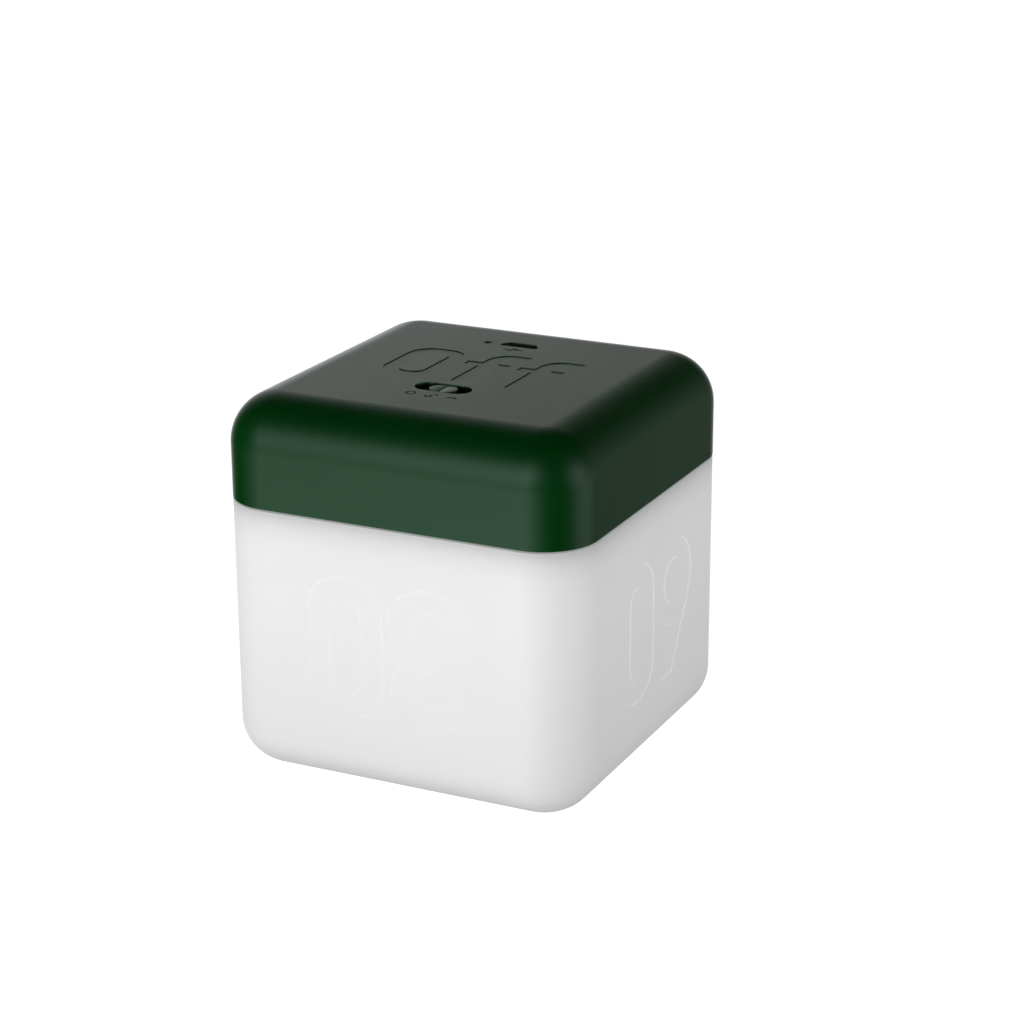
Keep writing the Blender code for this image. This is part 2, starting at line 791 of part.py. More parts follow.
# ---- Slide switch --------------------------------------------------------------------------
def at_switch(x, y, z):
    return (SWITCH_X + x, SWITCH_Y + y, z)


def make_mode_knob():
    """The knob's head fills the slot's width; its fork below carries the switch's lever."""
    centre = (SWITCH_X, SWITCH_Y)
    head_low = SHUTTER_HIGH + 0.2
    flange_high = SHUTTER_LOW - 0.4
    flange_low = flange_high - 1.0
    fork_low = LEVER_TOP - 1.9
    knob = extruded([stadium(KNOB_LENGTH, KNOB_WIDTH, centre, 15)], head_low, KNOB_TOP)
    join(
        knob,
        box(at_switch(-2.0, -1.6, flange_high - 0.3), at_switch(2.0, 1.6, head_low + 0.3)),
        box(at_switch(-4.5, -3.0, flange_low), at_switch(4.5, 3.0, flange_high)),
        box(at_switch(-2.4, -1.3, fork_low), at_switch(-1.2, 1.3, flange_low + 0.3)),
        box(at_switch(1.2, -1.3, fork_low), at_switch(2.4, 1.3, flange_low + 0.3)),
    )
    cut(knob, box(at_switch(-0.15, -4, KNOB_TOP - 0.35), at_switch(0.15, 4, KNOB_TOP + 1)))
    as_part(knob, "mode_knob", "knob_green")


def make_dust_shutter():
    """A thin sheet that moves with the knob and keeps the slot closed."""
    shutter = extruded(
        [
            rounded_rectangle(SHUTTER_LENGTH / 2, SHUTTER_WIDTH / 2, 1.0, (SWITCH_X, SWITCH_Y), 30),
            rounded_rectangle(2.25, 1.85, 0.3, (SWITCH_X, SWITCH_Y), 45),
        ],
        SHUTTER_LOW,
        SHUTTER_HIGH,
    )
    as_part(shutter, "dust_shutter", "black_plastic")


def make_switch():
    can_top = SEAT + CAN_HEIGHT
    half_x, half_y = CAN_LENGTH / 2, CAN_WIDTH / 2
    can = box(at_switch(-half_x, -half_y, SEAT), at_switch(half_x, half_y, can_top), 0.25, 2)
    inner_x, inner_y = half_x - CAN_WALL, half_y - CAN_WALL
    cut(
        can,
        box(at_switch(-inner_x, -inner_y, SEAT - 1), at_switch(inner_x, inner_y, can_top - CAN_WALL)),
        box(at_switch(-3.8, -1.0, can_top - 1), at_switch(3.8, 1.0, can_top + 1)),
    )
    as_part(can, "switch_can", "tin")

    base_x, base_y = inner_x - 0.1, inner_y - 0.1
    base_top = SEAT + 1.2
    base = box(at_switch(-base_x, -base_y, SEAT), at_switch(base_x, base_y, base_top))
    as_part(base, "switch_base", "ceramic_tan")

    contact = box(at_switch(-2.0, -1.8, base_top + 0.1), at_switch(2.0, 1.8, base_top + 0.4), 0.1, 1)
    as_part(contact, "switch_contact", "brass")

    foot_low, foot_high = base_top + 0.5, can_top - CAN_WALL - 0.1
    lever = box(at_switch(-2.6, -2.3, foot_low), at_switch(2.6, 2.3, foot_high))
    join(lever, box(at_switch(-0.95, -0.75, foot_high - 0.5), at_switch(0.95, 0.75, LEVER_TOP)))
    as_part(lever, "switch_lever", "black_plastic")


# ---- Charging port and its light -----------------------------------------------------------
def make_port():
    centre = (PORT_X, PORT_Y)
    long_side, short_side, height = PORT_OPENING
    flange_high = CAP_CEILING - REST_GAP
    gasket = extruded([port_outline(long_side - 0.3, short_side - 0.25, height - 0.3, centre)], 72.4, 74.7)
    join(gasket, extruded([rounded_rectangle(4.9, 2.3, 0.8, centre, 30)], 72.0, flange_high))
    cut(gasket, extruded([port_outline(6.85, 5.0, 1.8, centre)], 70, 80))
    as_part(gasket, "port_gasket", "black_rubber")

    shell = extruded(
        [port_outline(7.5, 5.3, 2.5, centre), port_outline(6.9, 5.0, 1.9, centre)], SEAT, PORT_MOUTH
    )
    as_part(shell, "port_shell", "tin")

    tongue = extruded([port_outline(6.6, 4.8, 1.6, centre)], SEAT, SEAT + 1.6)
    low, high = PORT_Y - 0.1, PORT_Y + 0.5
    join(tongue, box((PORT_X - 1.9, low, SEAT + 1.2), (PORT_X + 1.9, high, PORT_MOUTH - 0.7)))
    as_part(tongue, "port_tongue", "black_plastic")


def make_status_light():
    centre = (LIGHT_X, LIGHT_Y)
    chip = box(
        (LIGHT_X - 0.8, LIGHT_Y - 0.4, SEAT), (LIGHT_X + 0.8, LIGHT_Y + 0.4, SEAT + 0.7), 0.1, 1
    )
    as_part(chip, "status_led", "lamp_yellow")
    rod = LIGHT_HOLE_RADIUS - 0.12
    pipe = turned(
        [
            (0, 74.55),
            (rod * 0.7, 74.5),
            (rod, 74.3),
            (rod, 72.6),
            (1.5, 72.6),
            (1.5, 71.6),
            (rod, 71.6),
            (rod, SEAT + 1.0),
            (0, SEAT + 1.0),
        ],
        centre,
        steps=16,
    )
    as_part(pipe, "light_pipe", "clear_plastic")


# ---- Main board and what stands on it ------------------------------------------------------
def make_main_board():
    middle = (0, (BOARD_FRONT + BOARD_BACK) / 2)
    half_y = (BOARD_BACK - BOARD_FRONT) / 2
    board = extruded(
        [rounded_rectangle(BOARD_HALF_X, half_y, BOARD_CORNER, middle, 30)]
        + [circle(HOLE_RADIUS, hole, 30) for hole in BOARD_HOLES],
        BOARD_BOTTOM,
        BOARD_TOP,
    )
    as_part(board, "main_board", "board_green")


def make_leaded_chip(name, centre, length, leads_per_side):
    """A small-outline chip: a moulded body with bent leads along its two long sides."""
    x, y = centre
    pitch, body_half = 1.27, 1.95
    body = box(
        (x - length / 2, y - body_half, SEAT + 0.15), (x + length / 2, y + body_half, SEAT + 1.6), 0.15, 1
    )
    leads = []
    for i in range(leads_per_side):
        lead_x = x + (i - (leads_per_side - 1) / 2) * pitch
        for side in (-1, 1):
            near, bend, tip = side * (body_half - 0.3), side * (body_half + 0.55), side * (body_half + 1.1)
            ys = sorted((y + near, y + bend))
            leads.append(box((lead_x - 0.2, ys[0], SEAT + 0.7), (lead_x + 0.2, ys[1], SEAT + 0.9)))
            ys = sorted((y + bend - side * 0.2, y + bend))
            leads.append(box((lead_x - 0.19, ys[0], SEAT + 0.05), (lead_x + 0.19, ys[1], SEAT + 0.85)))
            ys = sorted((y + bend - side * 0.1, y + tip))
            leads.append(box((lead_x - 0.2, ys[0], SEAT), (lead_x + 0.2, ys[1], SEAT + 0.2)))
    join(body, *leads)
    as_part(body, name, "chip_black")


def make_board_parts():
    make_leaded_chip("controller_chip", (-8.0, -3.6), 9.9, 8)
    make_leaded_chip("charger_chip", (6.5, 12.4), 4.9, 4)

    sensor = box((-6.0, 4.5, SEAT), (-3.0, 7.5, SEAT + 1.0), 0.1, 1)
    as_part(sensor, "gravity_sensor", "chip_black")

    crystal = box((-7.5, 10.6, SEAT), (-2.5, 13.8, SEAT + 1.1), 0.35, 2)
    as_part(crystal, "clock_crystal", "tin")

    inductor = box((4.5, -6.0, SEAT), (9.5, -1.0, SEAT + 2.6), 0.6, 2)
    as_part(inductor, "driver_inductor", "ferrite")

    for number, (x, y) in enumerate([(3.0, 4.0), (7.0, 4.0), (7.0, 7.2)], 1):
        made = box((x - 1.0, y - 0.62, SEAT), (x + 1.0, y + 0.62, SEAT + 0.9), 0.12, 1)
        as_part(made, f"capacitor_{number}", "ceramic_tan")


def make_buzzer():
    """A round buzzer: a moulded case with a sound hole, over a metal-coloured base."""
    centre, radius = (-16.5, 6.6), 6.0
    low, high = SEAT + 0.9, SEAT + 6.6
    case = turned(
        [
            (0, high - 1.4),
            (0.9, high - 1.4),
            (0.9, high),
            (radius - 0.5, high),
            (radius, high - 0.5),
            (radius, low),
            (0, low),
        ],
        centre,
        steps=24,
    )
    as_part(case, "buzzer_case", "black_plastic")
    base = cylinder(radius - 0.3, SEAT, low - REST_GAP, centre, 24)
    as_part(base, "buzzer_base", "chip_black")


# ---- Battery -------------------------------------------------------------------------------
def make_battery():
    foam = box((-22, -14, TRAY_FLOOR_HIGH + REST_GAP), (18, 14, CELL_LOW - REST_GAP))
    as_part(foam, "battery_foam", "foam_grey")

    cell = box((CELL_X[0], -CELL_HALF_Y, CELL_LOW), (CELL_X[1], CELL_HALF_Y, CELL_HIGH), 1.6, 4)
    as_part(cell, "battery_cell", "pouch_silver")

    board_x = CELL_X[1] + 0.3
    guard = box((board_x, -14, 57.0), (board_x + 3.4, 14, 57.8))
    join(
        guard,
        box((board_x + 0.8, -6.5, 57.6), (board_x + 2.6, -3.6, 58.6)),
        box((board_x + 0.8, 4.5, 57.6), (board_x + 2.6, 7.4, 58.6)),
    )
    as_part(guard, "battery_guard_board", "board_green")


def make_battery_plug():
    y_half, low, high = 4.3, SEAT, SEAT + 4.8
    socket = box((15.5, -y_half, low), (22.5, y_half, high), 0.2, 1)
    cut(socket, box((17.0, -y_half + 0.8, low + 0.8), (23.5, y_half - 0.8, high - 0.8)))
    as_part(socket, "battery_socket", "connector_white")
    plug = box((17.3, -3.3, low + 1.0), (24.6, 3.3, high - 1.0), 0.2, 1)
    as_part(plug, "battery_plug", "connector_white")


def make_battery_leads():
    """Two leads from the guard board, round the main board's edge, to the plug's back."""
    exit_height = SEAT + 2.4
    for name, side in (("red", 1), ("black", -1)):
        y = side * LEAD_SPREAD
        route = [
            (24.7, y, exit_height),
            (25.9, y, exit_height),
            (27.2, y, exit_height - 1.6),
            (27.5, y, 61.6),
            (27.3, y, 59.0),
            (26.3, y, 57.6),
            (25.0, y, 57.4),
        ]
        as_part(tube(route, LEAD_RADIUS), f"battery_lead_{name}", f"lead_{name}")


# ---- Lamp ----------------------------------------------------------------------------------
def make_lamp():
    board = extruded(
        [rounded_rectangle(LAMP_BOARD_HALF, LAMP_BOARD_HALF, 3.0, step=30)],
        LAMP_BOARD_LOW,
        LAMP_BOARD_HIGH,
    )
    as_part(board, "lamp_board", "lamp_board_white")

    half = LAMP_SIDE / 2
    high = LAMP_BOARD_LOW - REST_GAP
    low = high - LAMP_THICK
    for number in range(LAMP_COUNT):
        turn = radians(90 + number * 360 / LAMP_COUNT)
        x, y = LAMP_RING * cos(turn), LAMP_RING * sin(turn)
        lamp = box((x - half, y - half, low), (x + half, y + half, high), 0.15, 1)
        cut(lamp, cylinder(half * 0.8, low - 1, low + 0.35, (x, y), 16))
        as_part(lamp, f"lamp_led_{number + 1}", "lamp_yellow")


def make_lamp_leads():
    """Two leads from the main board's underside, down through the tray, to the lamp board."""
    for name, side in (("red", 1), ("black", -1)):
        x = side * LEAD_SPREAD
        route = [
            (x, -18.6, BOARD_BOTTOM - REST_GAP),
            (x, -18.6, 58.0),
            (x, -18.6, 52.6),
            (x, -18.2, 50.6),
            (x, -16.6, 49.9),
            (x, -13.4, 50.3),
        ]
        as_part(tube(route, LEAD_RADIUS), f"lamp_lead_{name}", f"lead_{name}")


def hang_on_slide_axis():
    """The knob and what moves with it hang on an empty that lies on the line they slide along."""
    axis = bpy.data.objects.new("mode_slide_axis", None)
    axis.location = Vector(at_switch(0, 0, SHUTTER_HIGH)) * MM
    axis.empty_display_size = SLOT_LENGTH * MM
    PARTS.objects.link(axis)
    bpy.context.view_layer.update()
    for name in ("mode_knob", "dust_shutter", "switch_lever"):
        moving = bpy.data.objects[name]
        moving.parent = axis
        moving.matrix_parent_inverse = axis.matrix_world.inverted()


def main():
    make_top_cap()
    make_lower_body()
    make_inner_chassis()
    make_screws()
    make_mode_knob()
    make_dust_shutter()
    make_switch()
    hang_on_slide_axis()
    make_port()
    make_status_light()
    make_main_board()
    make_board_parts()
    make_buzzer()
    make_battery()
    make_battery_plug()
    make_battery_leads()
    make_lamp()
    make_lamp_leads()


main()
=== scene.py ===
"""Cube kitchen timer: a green cap over a translucent lamp body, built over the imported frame."""

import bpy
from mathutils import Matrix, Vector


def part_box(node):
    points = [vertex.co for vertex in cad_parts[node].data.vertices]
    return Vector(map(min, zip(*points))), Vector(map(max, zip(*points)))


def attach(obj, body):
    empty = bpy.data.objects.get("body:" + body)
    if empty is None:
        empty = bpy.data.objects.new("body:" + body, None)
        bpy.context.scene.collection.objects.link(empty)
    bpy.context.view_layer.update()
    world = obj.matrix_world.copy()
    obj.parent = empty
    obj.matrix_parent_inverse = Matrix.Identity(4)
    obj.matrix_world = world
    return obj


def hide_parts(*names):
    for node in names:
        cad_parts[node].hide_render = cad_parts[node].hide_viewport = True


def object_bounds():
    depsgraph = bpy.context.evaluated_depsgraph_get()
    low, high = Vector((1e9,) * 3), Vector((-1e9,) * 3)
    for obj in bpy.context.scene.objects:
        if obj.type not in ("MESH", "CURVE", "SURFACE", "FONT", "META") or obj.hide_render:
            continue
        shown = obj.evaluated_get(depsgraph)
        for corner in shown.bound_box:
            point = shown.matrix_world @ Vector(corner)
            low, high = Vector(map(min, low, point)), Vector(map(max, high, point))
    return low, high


bl_info = {
    "name": "Cube Kitchen Timer",
    "version": (1, 0, 0),
    "blender": (4, 5, 0),
    "location": "View3D > Sidebar > Timer",
    "description": "Builds a cube kitchen timer with its finishes, its insides and a small studio",
    "category": "Object",
}

from contextlib import contextmanager
from math import atan2, cos, degrees, radians, sin

import bmesh
import bpy
from bpy.props import FloatProperty, FloatVectorProperty, IntProperty, PointerProperty
from bpy.types import Operator, Panel, PropertyGroup
from mathutils import Matrix, Vector

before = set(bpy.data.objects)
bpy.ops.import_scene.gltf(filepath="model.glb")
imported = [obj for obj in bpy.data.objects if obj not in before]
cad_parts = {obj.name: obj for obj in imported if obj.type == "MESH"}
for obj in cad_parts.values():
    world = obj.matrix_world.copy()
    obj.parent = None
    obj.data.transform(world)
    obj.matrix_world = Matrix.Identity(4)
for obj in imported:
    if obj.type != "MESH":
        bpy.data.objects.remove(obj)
CAD_LOW, CAD_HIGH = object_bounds()
SIDE = CAD_HIGH.z - CAD_LOW.z

MM = 0.001

# ---- Sizes of the pieces, in millimetres ----
HALF = 37.5
SEAM_HEIGHT = 54.4
BODY_RIM = 54.1
BODY_STEP = 0.06
BODY_HALF = HALF - BODY_STEP
CAP_TOP = 75.0

BOARD_TOP = 63.4
FLANGE_HIGH = 59.4
REST_GAP = 0.1

BOARD_HOLES = [(-21.5, -20.5), (21.5, -20.5), (21.5, 21.5), (-21.5, 21.5)]
CHASSIS_HOLES = [(-28.5, -28.5), (28.5, -28.5), (28.5, 28.5), (-28.5, 28.5)]
BOARD_POST_RADIUS = 2.3
CHASSIS_POST_RADIUS = 3.0
PILOT_RADIUS = 1.2
PILOT_DEPTH = 6.5

SWITCH = (-0.45, -13.45)
SLOT_LENGTH = 11.5
SLOT_WIDTH = 5.1
KNOB_LENGTH = 5.6
KNOB_WIDTH = 4.1
KNOB_TRAVEL = 2.5
SHUTTER_ROOM = (10.5 + KNOB_TRAVEL, 4.5)  # half sizes of the space for the shutter

PORT = (-0.45, 19.9)
PORT_OPENING = (7.7, 5.4, 2.6)
LIGHT = (-7.35, 19.25)
LIGHT_HOLE_RADIUS = 0.75

LIP_WALL = 1.5
LIP_ROOT = 50.0
LIP_TOP = 57.2
LIP_GAP = 0.25
CATCH_LENGTH = 15.0
CATCH_REACH = 0.6
CATCH_LOW = 55.6
CATCH_HIGH = 56.6
CATCH_CLEARANCE = 0.25

NUMBER_HEIGHT = 27.8
NUMBER_WIDTH = 15.8
NUMBER_STROKE = 4.7
NUMBER_HALF_PITCH = 8.8
NUMBER_CENTRE_Z = 29.6

ICON_ROW = -18.8

# each side's number, the side's angle about Z from the front, and the number's sideways shift
SIDE_NUMBERS = [("30", 0, -0.65), ("60", 90, 0.7), ("10", 180, 0), ("20", 270, 0)]

OPENING_REACH = (7.5, 3.4)  # edges this near an opening's middle, along X and Y, belong to it
CORNER_CENTRE = HALF - 10.8  # the centres of the upright edges' rounds, along X and Y

ARC_STEP = 6.0  # turn of an outline from one point to the next, in degrees


# ---- Settings a user would change ----
class CapSettings(PropertyGroup):
    edge_radius: FloatProperty(
        name="Edge radius", description="Radius of the four upright edges",
        default=10.8 * MM, min=0.002, max=0.02, subtype="DISTANCE", unit="LENGTH",
    )
    top_radius: FloatProperty(
        name="Top radius", description="Radius of the edges round the top", default=9.9 * MM,
        min=0.002, max=0.02, subtype="DISTANCE", unit="LENGTH",
    )
    wall: FloatProperty(
        name="Wall", description="Thickness of the cap's wall", default=2.2 * MM, min=0.001,
        max=0.004, subtype="DISTANCE", unit="LENGTH",
    )
    word_depth: FloatProperty(
        name="Word depth", description="Depth of the word and the icons in the cap",
        default=0.15 * MM, min=0.0001, max=0.001, subtype="DISTANCE", unit="LENGTH",
    )
    colour: FloatVectorProperty(
        name="Colour", description="Colour of the cap and its knob",
        default=(0.0005, 0.070, 0.0068), size=3, min=0.0, max=1.0, subtype="COLOR",
    )
    roughness: FloatProperty(
        name="Roughness", description="Roughness of the cap's satin finish", default=0.25,
        min=0.05, max=1.0, subtype="FACTOR",
    )
    segments: IntProperty(
        name="Rounding steps", description="Faces across a rounded edge", default=18, min=4,
        max=40,
    )


class BodySettings(PropertyGroup):
    base_radius: FloatProperty(
        name="Base radius", description="Radius of the edges round the underside",
        default=9.5 * MM, min=0.002, max=0.02, subtype="DISTANCE", unit="LENGTH",
    )
    wall: FloatProperty(
        name="Wall", description="Thickness of the lamp body's wall", default=2.4 * MM,
        min=0.001, max=0.005, subtype="DISTANCE", unit="LENGTH",
    )
    number_depth: FloatProperty(
        name="Number depth", description="Depth of the numbers in the lamp body",
        default=0.09 * MM, min=0.0001, max=0.001, subtype="DISTANCE", unit="LENGTH",
    )
    colour: FloatVectorProperty(
        name="Colour", description="Colour of the translucent lamp body",
        default=(0.93, 0.93, 0.93), size=3, min=0.0, max=1.0, subtype="COLOR",
    )
    # Painted light: an even glow of the body's wall that stands in for room light; the body glows
    # though its lamp is not lit
    painted_glow: FloatProperty(
        name="Glow",
        description="Room light that the translucent wall holds and gives back evenly",
        default=0.365, min=0.0, max=5.0,
    )
    roughness: FloatProperty(
        name="Roughness", description="Roughness of the lamp body", default=0.45, min=0.05,
        max=1.0, subtype="FACTOR",
    )


class StageSettings(PropertyGroup):
    azimuth: FloatProperty(
        name="Camera azimuth",
        description="Angle of the camera round the timer from its front side",
        default=radians(25.0579), subtype="ANGLE", unit="ROTATION",
    )
    elevation: FloatProperty(
        name="Camera elevation", description="Angle of the camera above the worktop",
        default=radians(18.9207), subtype="ANGLE", unit="ROTATION",
    )
    distance: FloatProperty(
        name="Camera distance", description="From the camera to the point it looks at",
        default=0.5173, min=0.1, subtype="DISTANCE", unit="LENGTH",
    )
    focal_length: FloatProperty(
        name="Focal length", description="Focal length of the camera's lens, in millimetres",
        default=92.93, min=20.0, max=300.0,
    )
    shift: FloatProperty(
        name="Sideways shift",
        description="Shift of the picture from the middle of the lens, as a share of its width",
        default=-0.0426,
    )
    light: FloatProperty(
        name="Light", description="Strength of all the studio's light", default=1.0, min=0.0,
        max=10.0,
    )


# ---- Working on objects ----
def make_active(piece):
    bpy.ops.object.select_all(action="DESELECT")
    piece.select_set(True)
    bpy.context.view_layer.objects.active = piece


@contextmanager
def editing(piece):
    make_active(piece)
    bpy.ops.object.mode_set(mode="EDIT")
    try:
        yield
    finally:
        bpy.ops.object.mode_set(mode="OBJECT")


def select(piece, kind, test):
    """In edit mode, selects the faces or the edges of the piece that pass the test."""
    bpy.ops.mesh.select_mode(type="FACE" if kind == "faces" else "EDGE")
    bpy.ops.mesh.select_all(action="DESELECT")
    mesh = bmesh.from_edit_mesh(piece.data)
    found = [element for element in getattr(mesh, kind) if test(element)]
    if not found:
        raise RuntimeError(f"{piece.name} has no {kind} of the kind asked for")
    for element in found:
        element.select_set(True)
    mesh.select_flush_mode()
    bmesh.update_edit_mesh(piece.data)


def settle(piece):
    """Puts the piece's place, turn and scale into its mesh, so that its object is at the origin."""
    make_active(piece)
    bpy.ops.object.transform_apply(location=True, rotation=True, scale=True)
    return piece


def apply_modifier(piece, kind, **settings):
    modifier = piece.modifiers.new(kind.lower(), kind)
    for key, value in settings.items():
        setattr(modifier, key, value)
    make_active(piece)
    bpy.ops.object.modifier_apply(modifier=modifier.name)
    return piece


def remove(piece):
    mesh = piece.data
    bpy.data.objects.remove(piece, do_unlink=True)
    bpy.data.meshes.remove(mesh)


def combine(piece, others, operation):
    """Joins the others to the piece, or cuts them from it, and removes them."""
    group = bpy.data.collections.new("tools")
    for other in others:
        group.objects.link(other)
    apply_modifier(
        piece,
        "BOOLEAN",
        operation=operation,
        operand_type="COLLECTION",
        collection=group,
        solver="EXACT",
    )
    for other in others:
        remove(other)
    bpy.data.collections.remove(group)
    return piece


def block(name, low, high):
    """A box between two corners, in millimetres."""
    low, high = Vector(low) * MM, Vector(high) * MM
    bpy.ops.object.select_all(action="DESELECT")
    bpy.ops.mesh.primitive_cube_add(size=1, location=(low + high) / 2, scale=high - low)
    piece = bpy.context.active_object
    piece.name = name
    return settle(piece)


def rod(name, radius, low, high, centre, sides=32):
    bpy.ops.object.select_all(action="DESELECT")
    bpy.ops.mesh.primitive_cylinder_add(
        vertices=sides,
        radius=radius * MM,
        depth=(high - low) * MM,
        location=(centre[0] * MM, centre[1] * MM, (low + high) / 2 * MM),
    )
    piece = bpy.context.active_object
    piece.name = name
    return settle(piece)


def plate(name, outlines, low, high):
    """A flat shape with its holes, from outlines in millimetres, as thick as low to high."""
    curve = bpy.data.curves.new(name, "CURVE")
    curve.dimensions = "2D"
    curve.fill_mode = "BOTH"
    curve.extrude = (high - low) / 2 * MM
    for points in outlines:
        spline = curve.splines.new("POLY")
        spline.points.add(len(points) - 1)
        for slot, (x, y) in zip(spline.points, points):
            slot.co = (x * MM, y * MM, 0, 1)
        spline.use_cyclic_u = True
    piece = bpy.data.objects.new(name, curve)
    bpy.context.scene.collection.objects.link(piece)
    make_active(piece)
    bpy.ops.object.convert(target="MESH")
    piece = bpy.context.active_object
    with editing(piece):
        bpy.ops.mesh.select_all(action="SELECT")
        bpy.ops.mesh.remove_doubles(threshold=1e-7)
        bpy.ops.mesh.normals_make_consistent(inside=False)
    piece.location.z = (low + high) / 2 * MM
    return settle(piece)


def is_corner(edge, smallest=30):
    return len(edge.link_faces) == 2 and edge.calc_face_angle(0) > radians(smallest)


def soften(piece, test, width, segments=2):
    """Rounds the piece's sharp edges that pass the test, by a width in millimetres."""
    with editing(piece):
        select(piece, "edges", lambda edge: is_corner(edge) and test(edge))
        bpy.ops.mesh.bevel(offset=width * MM, segments=segments, affect="EDGES", clamp_overlap=True)
    return piece


def on_plane(edge, axis, level):
    return all(abs(v.co[axis] - level * MM) < 1e-6 for v in edge.verts)


def shade(piece, angle=32):
    """Smooth rounds and true flats: the large faces set the normals."""
    make_active(piece)
    bpy.ops.object.shade_smooth_by_angle(angle=radians(angle))
    apply_modifier(piece, "WEIGHTED_NORMAL", mode="FACE_AREA", weight=50, keep_sharp=True)
    return piece


# ---- Outlines, as lists of (x, y) points in millimetres ----
def arc(centre, radius, start, end, step=ARC_STEP):
    """Points on an arc from start to end; radius is a number, or (x radius, y radius)."""
    across, along = radius if isinstance(radius, tuple) else (radius, radius)
    count = max(2, round(abs(end - start) / step))
    turns = [radians(start + (end - start) * i / count) for i in range(count + 1)]
    return [(centre[0] + across * cos(t), centre[1] + along * sin(t)) for t in turns]


def rounded_rectangle(half_x, half_y, radius, centre=(0, 0), step=ARC_STEP):
    points = []
    for start, sign_x, sign_y in ((0, 1, 1), (90, -1, 1), (180, -1, -1), (270, 1, -1)):
        corner = (
            centre[0] + sign_x * (half_x - radius),
            centre[1] + sign_y * (half_y - radius),
        )
        points += arc(corner, radius, start, start + 90, step)
    return points


def stadium(length, width, centre=(0, 0)):
    reach = (length - width) / 2
    return arc((centre[0] + reach, centre[1]), width / 2, -90, 90) + arc(
        (centre[0] - reach, centre[1]), width / 2, 90, 270
    )


def circle(radius, centre=(0, 0), step=ARC_STEP):
    return arc(centre, radius, 0, 360 - step, step)


def port_outline(long_side, short_side, height, centre=(0, 0)):
    """The six-sided outline of the charging port, its long side to the front."""
    shoulder = -height * 0.05
    right = [(long_side / 2, -height / 2), (long_side / 2, shoulder), (short_side / 2, height / 2)]
    left = [(-x, y) for x, y in reversed(right)]
    return [(centre[0] + x, centre[1] + y) for x, y in right + left]


def moved(outlines, dx, dy):
    return [[(dx + x, dy + y) for x, y in line] for line in outlines]


# ---- Characters, each a list of closed outlines round its own centre ----
def figure_0():
    half_x, half_y = NUMBER_WIDTH / 2, NUMBER_HEIGHT / 2
    inner_x, inner_y = half_x - NUMBER_STROKE, half_y - NUMBER_STROKE
    return [
        rounded_rectangle(half_x, half_y, half_x * 0.9),
        rounded_rectangle(inner_x, inner_y, inner_x * 0.9),
    ]


def figure_1():
    top = NUMBER_HEIGHT / 2
    left, right = -0.2, NUMBER_STROKE - 0.2
    stem = [(left, -top), (right, -top), (right, top), (left, top)]
    return [stem + [(-6.4, 9.4), (-6.4, 4.1), (left, 8.4)]]


def figure_2():
    top, wide = NUMBER_HEIGHT / 2, 8.6
    centre = (0, top - wide)
    base = -top + NUMBER_STROKE
    foot = [(-2.2, base), (wide, base), (wide, -top), (-wide, -top), (-wide, base - 0.9)]
    return [arc(centre, wide, 180, -38) + foot + arc(centre, wide - NUMBER_STROKE, -38, 180)]


def figure_3():
    """Two bowls that meet in a notch on the right, with a short bar between them."""
    bar_end = -0.45
    bar_half = 2.2
    return [
        arc((0, -6.4), (8.66, 7.58), 192, 408)
        + [(4.95, 0.45)]
        + arc((-0.15, 6.75), (8.2, 7.22), -46, 170)
        + arc((-0.15, 5.92), (3.64, 3.7), 148, -90)
        + [(bar_end, bar_half), (bar_end, -bar_half)]
        + arc((0, -5.85), (3.75, 3.65), 90, -148)
    ]


def figure_5():
    top, bowl = NUMBER_HEIGHT / 2, 8.6
    centre = (0, -top + bowl)
    under_bar = top - NUMBER_STROKE
    return [
        [(7.2, top), (-7.2, top), (-7.8, -0.6), (-3.2, -0.6)]
        + arc(centre, bowl - NUMBER_STROKE, 118, -168)
        + arc(centre, bowl, -168, 106)
        + [(-2.9, under_bar), (7.2, under_bar)]
    ]


def figure_6():
    """A round bowl with a straight slanted stem that runs off its left side."""
    top, bowl = NUMBER_HEIGHT / 2, 8.85
    stroke = 4.3
    centre = Vector((0, -top + bowl))
    slant = Vector((0.492, 0.871)).normalized()
    outward = Vector((-slant.y, slant.x))
    stem_foot = centre + outward * bowl
    stem_top = stem_foot + slant * ((top - stem_foot.y) / slant.y)
    far_side = centre + outward * (bowl - stroke)
    far_top = far_side + slant * ((top - far_side.y) / slant.y)
    meets = far_side + slant * (bowl**2 - (bowl - stroke) ** 2) ** 0.5
    start = degrees(atan2(meets.y - centre.y, meets.x - centre.x))
    end = degrees(atan2(outward.y, outward.x)) - 360
    return [
        [tuple(stem_top), tuple(far_top)] + arc(tuple(centre), bowl, start, end),
        circle(bowl - stroke, tuple(centre)),
    ]


def letter_o():
    half_x, half_y, centre = 5.9, 9.6, (0, 1.5)
    return [
        rounded_rectangle(half_x, half_y, 5.0, centre),
        rounded_rectangle(half_x - 3.15, half_y - 2.6, 2.3, centre),
    ]


def letter_f():
    """Its origin is on the stem's left side, at the height of the middle of the cap."""
    stem, foot, crown = 3.3, -8.3, 12.4
    bar_low, bar_high, bar_left, bar_right = 3.5, 5.75, -3.0, 6.2
    hook_end, hook_thick = 7.6, 2.35
    outer_turn, inner_turn = 4.6, 1.9
    return [
        [(0, foot), (0, bar_low), (bar_left, bar_low), (bar_left, bar_high), (0, bar_high)]
        + arc((outer_turn, crown - outer_turn), outer_turn, 180, 90)
        + [(hook_end, crown), (hook_end, crown - hook_thick)]
        + arc((stem + inner_turn, crown - hook_thick - inner_turn), inner_turn, 90, 180)
        + [(stem, bar_high), (bar_right, bar_high), (bar_right, bar_low)]
        + [(stem, bar_low), (stem, foot)]
    ]


FIGURES = {"0": figure_0, "1": figure_1, "2": figure_2, "3": figure_3, "5": figure_5, "6": figure_6}


